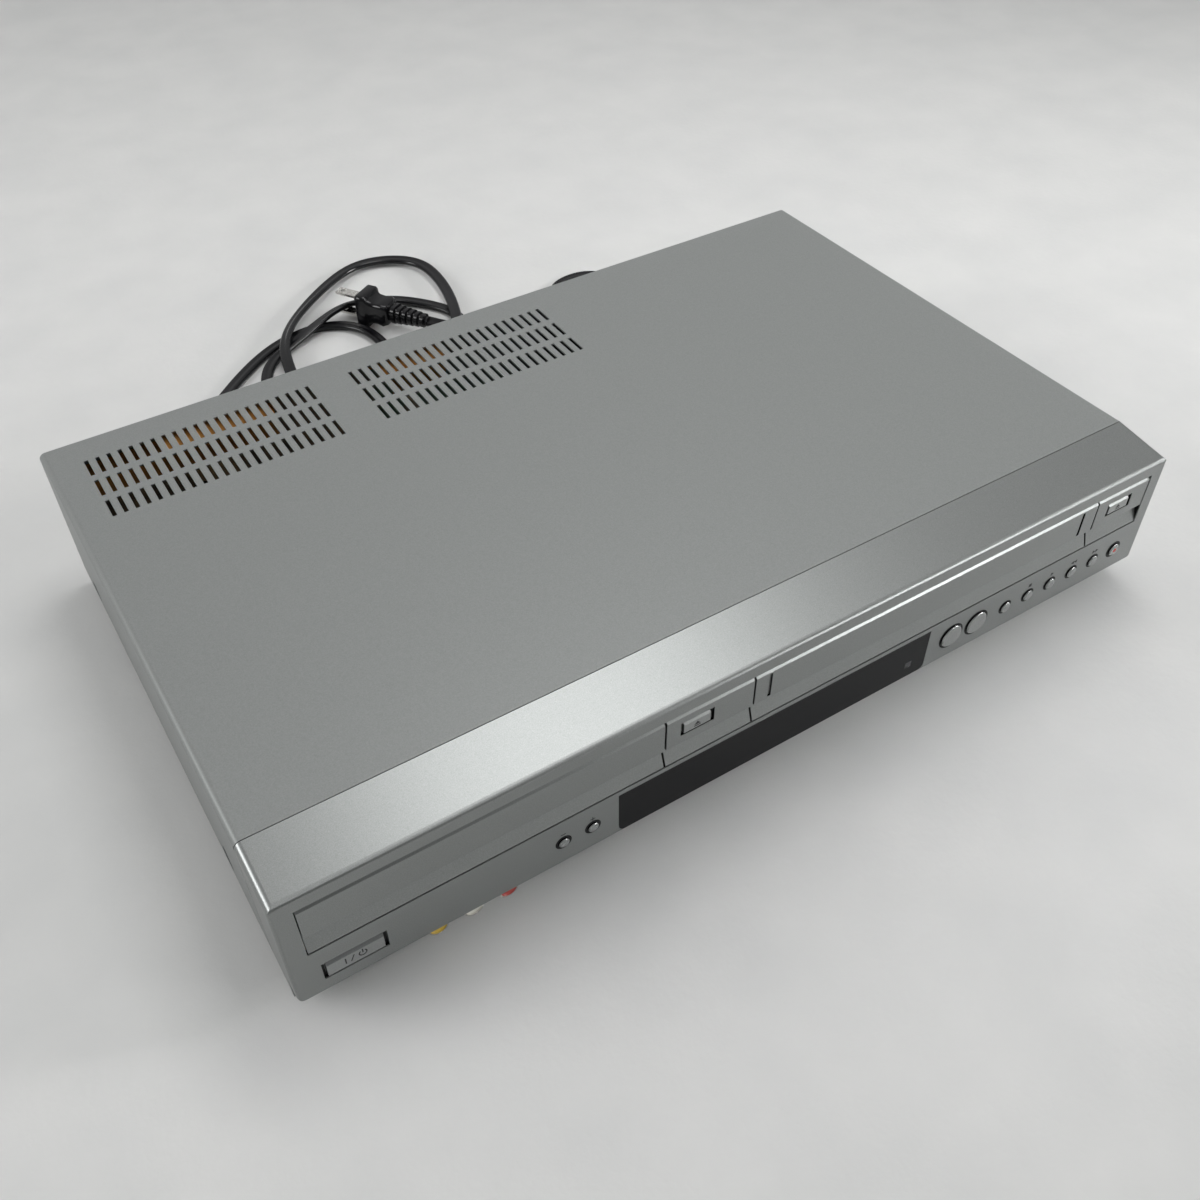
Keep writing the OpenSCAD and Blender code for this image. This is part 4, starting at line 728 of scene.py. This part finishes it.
def printed(name, outlines, middle, front, body, finish=ink):
    """Closed outlines in millimetres round their middle, printed on the surface at front."""
    shape = bmesh.new()
    for outline in outlines:
        add_skin(shape, [
            [(middle[0] + x / 1000, y, middle[1] + z / 1000) for x, z in outline]
            for y in (front - INK_PROUD, front + INK_DEPTH)
        ])
    mark = closed_piece(name, shape)
    mark.data.materials.append(finish)
    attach(mark, body)


window_low, window_high = (corner * 1000 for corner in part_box("display_window"))
film_foot = window_low.z - FILM_BELOW_MM + FILM_CORNER_MM
film_top = window_high.z + FILM_ABOVE_MM
sensor_right = window_high.x - SENSOR_INSET_MM[0]
sensor_foot = window_low.z + SENSOR_INSET_MM[1]
film = [
    *shifted(arc(FILM_CORNER_MM, 180, 270, 6), window_low.x + FILM_CORNER_MM, film_foot),
    *shifted(arc(FILM_CORNER_MM, 270, 360, 6), window_high.x - FILM_CORNER_MM, film_foot),
    (window_high.x, film_top), (window_low.x, film_top),
]
printed("window_film", [film], (0, 0), FACE_Y - HAIR, "case", smoked)
sensor = bar(
    sensor_right - SENSOR_SIDE_MM, sensor_right, sensor_foot, sensor_foot + SENSOR_SIDE_MM
)
printed(
    "sensor_window", [sensor], (0, 0), FACE_Y - 3 * HAIR, "case", sensor_black
)

# Each pocket's painted shade is its name, its button and the height of its middle, then half its
# opening's width and height, and half the width and the top of the button's own hole, both in
# millimetres.
for name, button, z, (half_width, half_height), (hole_width, hole_top) in (
    ("power_pocket", "power_button", 0.0262, (12.4, 4.8), (11.35, 3.3)),
    ("open_pocket_shade", "dvd_open_button", 0.05835, (7.7, 3.45), (6.6, 2.85)),
    ("eject_pocket", "tape_eject_button", 0.05835, (7.7, 3.45), (6.6, 2.85)),
):
    lintel = hole_width - BAR_GAP_MM
    painted_wall_shade = [
        bar(-half_width, -hole_width, -half_height, half_height),
        bar(hole_width, half_width, -half_height, half_height),
        bar(-lintel, lintel, hole_top, half_height),
    ]
    printed(name, painted_wall_shade, (middle_of(button)[0], z), FACE_Y + POCKET_DEPTH, "case", painted_shade_black)

power_sign = [
    bar(-4.25, -3.75, -1.6, 1.6),
    [(-2.3, -1.6), (-1.8, -1.6), (-0.4, 1.6), (-0.9, 1.6)],
    shifted(arc(1.7, 125, 415, 20) + arc(1.2, 415, 125, 20), 2.6),
    bar(2.35, 2.85, 0.1, 2.2),
]
open_sign = [bar(-1.5, 1.5, -1.4, -0.9), [(-1.5, -0.45), (1.5, -0.45), (0, 1.2)]]
for name, button, z, sign in (
    ("power_mark", "power_button", 0.0252, power_sign),
    ("open_mark", "dvd_open_button", 0.0575, open_sign),
    ("eject_mark", "tape_eject_button", 0.0575, open_sign),
):
    printed(name, sign, (middle_of(button)[0], z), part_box(button)[0].y, button)

plus_sign = [
    (-1.1, -0.2), (-0.2, -0.2), (-0.2, -1.1), (0.2, -1.1), (0.2, -0.2), (1.1, -0.2),
    (1.1, 0.2), (0.2, 0.2), (0.2, 1.1), (-0.2, 1.1), (-0.2, 0.2), (-1.1, 0.2),
]
forward_sign = [(-0.9, -1.0), (1.0, 0), (-0.9, 1.0)]
back_sign = [(0.9, -1.0), (0.9, 1.0), (-1.0, 0)]
for name, button, rise, sign in (
    ("minus_mark", "channel_down_button", CHANNEL_RISE, [bar(-1.1, 1.1, -0.2, 0.2)]),
    ("plus_mark", "channel_up_button", CHANNEL_RISE, [plus_sign]),
    ("stop_mark", "stop_button", DECK_RISE, [bar(-0.9, 0.9, -0.9, 0.9)]),
    ("play_mark", "play_button", DECK_RISE, [forward_sign]),
    ("rewind_mark", "rewind_button", DECK_RISE,
     [shifted(back_sign, side * PAIR_SHIFT_MM) for side in (-1, 1)]),
    ("forward_mark", "forward_button", DECK_RISE,
     [shifted(forward_sign, side * PAIR_SHIFT_MM) for side in (-1, 1)]),
):
    x, z = middle_of(button)
    printed(name, sign, (x, z + rise), FACE_Y, "case")
printed(
    "record_mark", [arc(1.1, 0, 345, 23)], middle_of("record_button"),
    FACE_Y - CAP_PROUD + HAIR, "record_button", red_ink,
)


# ---- Bottom, rear panel and feet ----
# Plated sheet steel below and behind, with a faint spangle and scuffs, on four rubber feet. The
# deck's chassis and its cassette holder are of the same sheet, and its rods and slides of drawn
# steel.

plated = new_finish("plated_steel", (0.55, 0.56, 0.55), 0.38, 0.9)
mottled(plated, (0.52, 0.53, 0.52), (0.59, 0.60, 0.585), 0.004)
uneven_gloss(plated, 0.32, 0.44, 0.01)
for name, ease in (
    ("bottom_plate", 0.00015), ("rear_panel", 0.00015), ("deck_chassis", 0), ("cassette_holder", 0),
):
    dress(name, plated, ease)


def drawn(finish, dark, light, size, squeeze):
    """Fine lines along one axis, as drawing or turning leaves them."""
    return mottled(finish, dark, light, size, 0.4, 2.0, squeeze)


rod_steel = new_finish("drawn_steel", (0.62, 0.62, 0.63), 0.25, 1.0)
drawn(rod_steel, (0.54, 0.54, 0.55), (0.70, 0.70, 0.71), 0.0006, (1, 0.05, 1))
uneven_gloss(rod_steel, 0.18, 0.35, 0.004)
for name in ("guide_rods", "carriage_slides"):
    dress(name, rod_steel)
turned_steel = new_finish("turned_steel", (0.60, 0.60, 0.61), 0.25, 1.0)
drawn(turned_steel, (0.52, 0.52, 0.53), (0.68, 0.68, 0.69), 0.0006, (0.08, 0.08, 1))
uneven_gloss(turned_steel, 0.18, 0.35, 0.004)
for name in ("drive_motors", "capstan", "flap_spring"):
    dress(name, turned_steel)
rubber = new_finish("foot_rubber", (0.025, 0.025, 0.025), 0.7)
mottled(rubber, (0.018, 0.018, 0.018), (0.034, 0.034, 0.034), 0.003)
grained(rubber, 0.0008, 0.00004)
for name in ("feet", "pinch_roller"):
    dress(name, rubber)


# ---- Jacks and sockets ----
# Nickel-plated shells over coloured moulded cores, in black jack blocks, and a plated tuner box
# with its two aerial sockets. The drives' moulded frames are of the same black plastic.

for name, dark, light in (
    ("rca_cores_yellow", (0.62, 0.40, 0.02), (0.76, 0.52, 0.04)),
    ("rca_cores_white", (0.70, 0.68, 0.62), (0.82, 0.80, 0.74)),
    ("rca_cores_red", (0.40, 0.02, 0.012), (0.54, 0.04, 0.03)),
    ("rca_cores_green", (0.02, 0.23, 0.07), (0.04, 0.32, 0.11)),
    ("rca_cores_blue", (0.02, 0.07, 0.30), (0.04, 0.11, 0.40)),
):
    core = new_finish(name, light, 0.35)
    mottled(core, dark, light, 0.002)
    uneven_gloss(core, 0.28, 0.45, 0.003)
    dress(name, core)
dress("rca_shells", nickel)
dress("tuner", plated)
black_plastic = new_finish("black_plastic", (0.03, 0.03, 0.032), 0.5)
mottled(black_plastic, (0.022, 0.022, 0.024), (0.038, 0.038, 0.040), 0.004)
uneven_gloss(black_plastic, 0.4, 0.6, 0.008)
grained(black_plastic, 0.0007, 0.00001)
for name in (
    "rear_jack_block", "front_jack_base", "loader_frame", "disc_tray", "traverse_frame",
    "turntable", "supply_reel", "takeup_reel",
):
    dress(name, black_plastic)


# ---- Boards ----
# A green main board with black chips, tan boards for the front and the supply, and what stands on
# them: a heat sink and a card, a taped transformer and sleeved capacitors. Two fibre sheets behind
# them keep the supply off the rear panel.

BOARD_THICK = 0.0016
PAST_BOARD = 0.00005    # just off a board's face, where its parts take over
BOARD_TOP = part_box("transformer")[0].z + PAST_BOARD
FRONT_BOARD_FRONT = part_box("front_board")[1].y - BOARD_THICK - PAST_BOARD
TRACK_PITCH = 0.007
TRACK_SHARE = 0.42


def with_tracks(finish, colour):
    """Copper tracks under the board's lacquer, as a slightly lighter pattern of cells."""
    tree = finish.node_tree
    place = tree.nodes.new("ShaderNodeTexCoord")
    cells = tree.nodes.new("ShaderNodeTexVoronoi")
    cells.distance = "CHEBYCHEV"
    cells.inputs["Scale"].default_value = 1 / TRACK_PITCH
    tree.links.new(place.outputs["Object"], cells.inputs["Vector"])
    track = reckoned(finish, "LESS_THAN", cells.outputs["Distance"], TRACK_SHARE)
    return painted_where(finish, track, colour)


board_green = new_finish("board_green", (0.03, 0.12, 0.03), 0.35)
mottled(board_green, (0.02, 0.09, 0.02), (0.05, 0.16, 0.05), 0.006)
with_tracks(board_green, (0.06, 0.20, 0.07))
two_toned(board_green, "Z", BOARD_TOP, (0.020, 0.020, 0.022))
uneven_gloss(board_green, 0.28, 0.5, 0.006)
dress("main_board", board_green)
board_tan = new_finish("board_tan", (0.45, 0.28, 0.10), 0.5)
mottled(board_tan, (0.38, 0.23, 0.08), (0.52, 0.33, 0.13), 0.01)
uneven_gloss(board_tan, 0.4, 0.6, 0.006)
two_toned(board_tan, "Y", FRONT_BOARD_FRONT, (0.03, 0.03, 0.032), above=False)
dress("front_board", board_tan)
board_paper = new_finish("board_paper", (0.50, 0.30, 0.11), 0.5)
mottled(board_paper, (0.42, 0.25, 0.08), (0.56, 0.36, 0.15), 0.01)
uneven_gloss(board_paper, 0.4, 0.6, 0.006)
two_toned(board_paper, "Z", BOARD_TOP, (0.46, 0.38, 0.26))
dress("power_board", board_paper)
tape_wrap = new_finish("winding_tape", (0.70, 0.50, 0.08), 0.4)
mottled(tape_wrap, (0.60, 0.42, 0.06), (0.78, 0.57, 0.11), 0.003)
uneven_gloss(tape_wrap, 0.3, 0.5, 0.003)
dress("transformer", tape_wrap)
sleeve = new_finish("capacitor_sleeve", (0.01, 0.02, 0.06), 0.3)
mottled(sleeve, (0.008, 0.014, 0.045), (0.014, 0.028, 0.080), 0.003)
uneven_gloss(sleeve, 0.22, 0.4, 0.003)
dress("capacitors", sleeve)
insulator = new_finish("insulator_fibre", (0.90, 0.42, 0.10), 0.55)
mottled(insulator, (0.80, 0.34, 0.06), (0.98, 0.50, 0.14), 0.01)
uneven_gloss(insulator, 0.45, 0.65, 0.005)
dress("insulator_sheet", insulator)

# Above each sheet its upper edge is folded forward under the rearmost row of vents.
LIP_THICK = 0.0006
LIP_FRONT = 0.1110
LIP_TOP = 0.0748
LIP_NOSE = 0.0004
LIP_LAP = 0.0003
sheet_back, sheet_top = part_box("insulator_sheet")[1].yz
lip_foot = sheet_top - LIP_LAP
lip_profile = [
    (sheet_back - LIP_THICK, lip_foot), (sheet_back, lip_foot), (sheet_back, LIP_TOP),
    (LIP_FRONT, LIP_TOP), (LIP_FRONT - LIP_NOSE, LIP_TOP - LIP_THICK / 2),
    (LIP_FRONT, LIP_TOP - LIP_THICK), (sheet_back - LIP_THICK, LIP_TOP - LIP_THICK),
]
for name, left, right in (
    ("insulator_lip_left", -0.163, -0.1115), ("insulator_lip_right", -0.0542, -0.0185),
):
    shape = bmesh.new()
    add_skin(shape, [[(x, y, z) for y, z in lip_profile] for x in (left, right)])
    lip = closed_piece(name, shape)
    lip.data.materials.append(insulator)
    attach(lip, "case")


# ---- Disc drive and deck pieces ----
# White acetal for the tray gear and the clamper, a cast sled with a glossy lens, and a drum of
# polished alloy with the fine rings of its turning.

LENS_HEIGHT = 0.0009
LENS_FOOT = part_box("pickup_sled")[1].z - LENS_HEIGHT
acetal = new_finish("white_acetal", (0.75, 0.74, 0.70), 0.45)
mottled(acetal, (0.68, 0.67, 0.62), (0.80, 0.79, 0.75), 0.004)
uneven_gloss(acetal, 0.35, 0.55, 0.004)
for name in ("tray_gear", "disc_clamper"):
    dress(name, acetal)
sled_cast = new_finish("sled_casting", (0.20, 0.20, 0.21), 0.45, 0.7)
mottled(sled_cast, (0.16, 0.16, 0.17), (0.25, 0.25, 0.26), 0.002)
grained(sled_cast, 0.0006, 0.00002)
two_toned(sled_cast, "Z", LENS_FOOT, (0.05, 0.06, 0.12))
dress("pickup_sled", sled_cast)
drum_alloy = new_finish("drum_alloy", (0.70, 0.70, 0.72), 0.2, 1.0)
drawn(drum_alloy, (0.62, 0.62, 0.64), (0.78, 0.78, 0.80), 0.0005, (0.06, 0.06, 1))
uneven_gloss(drum_alloy, 0.12, 0.28, 0.003)
for name in ("drum_base", "head_drum"):
    dress(name, drum_alloy)
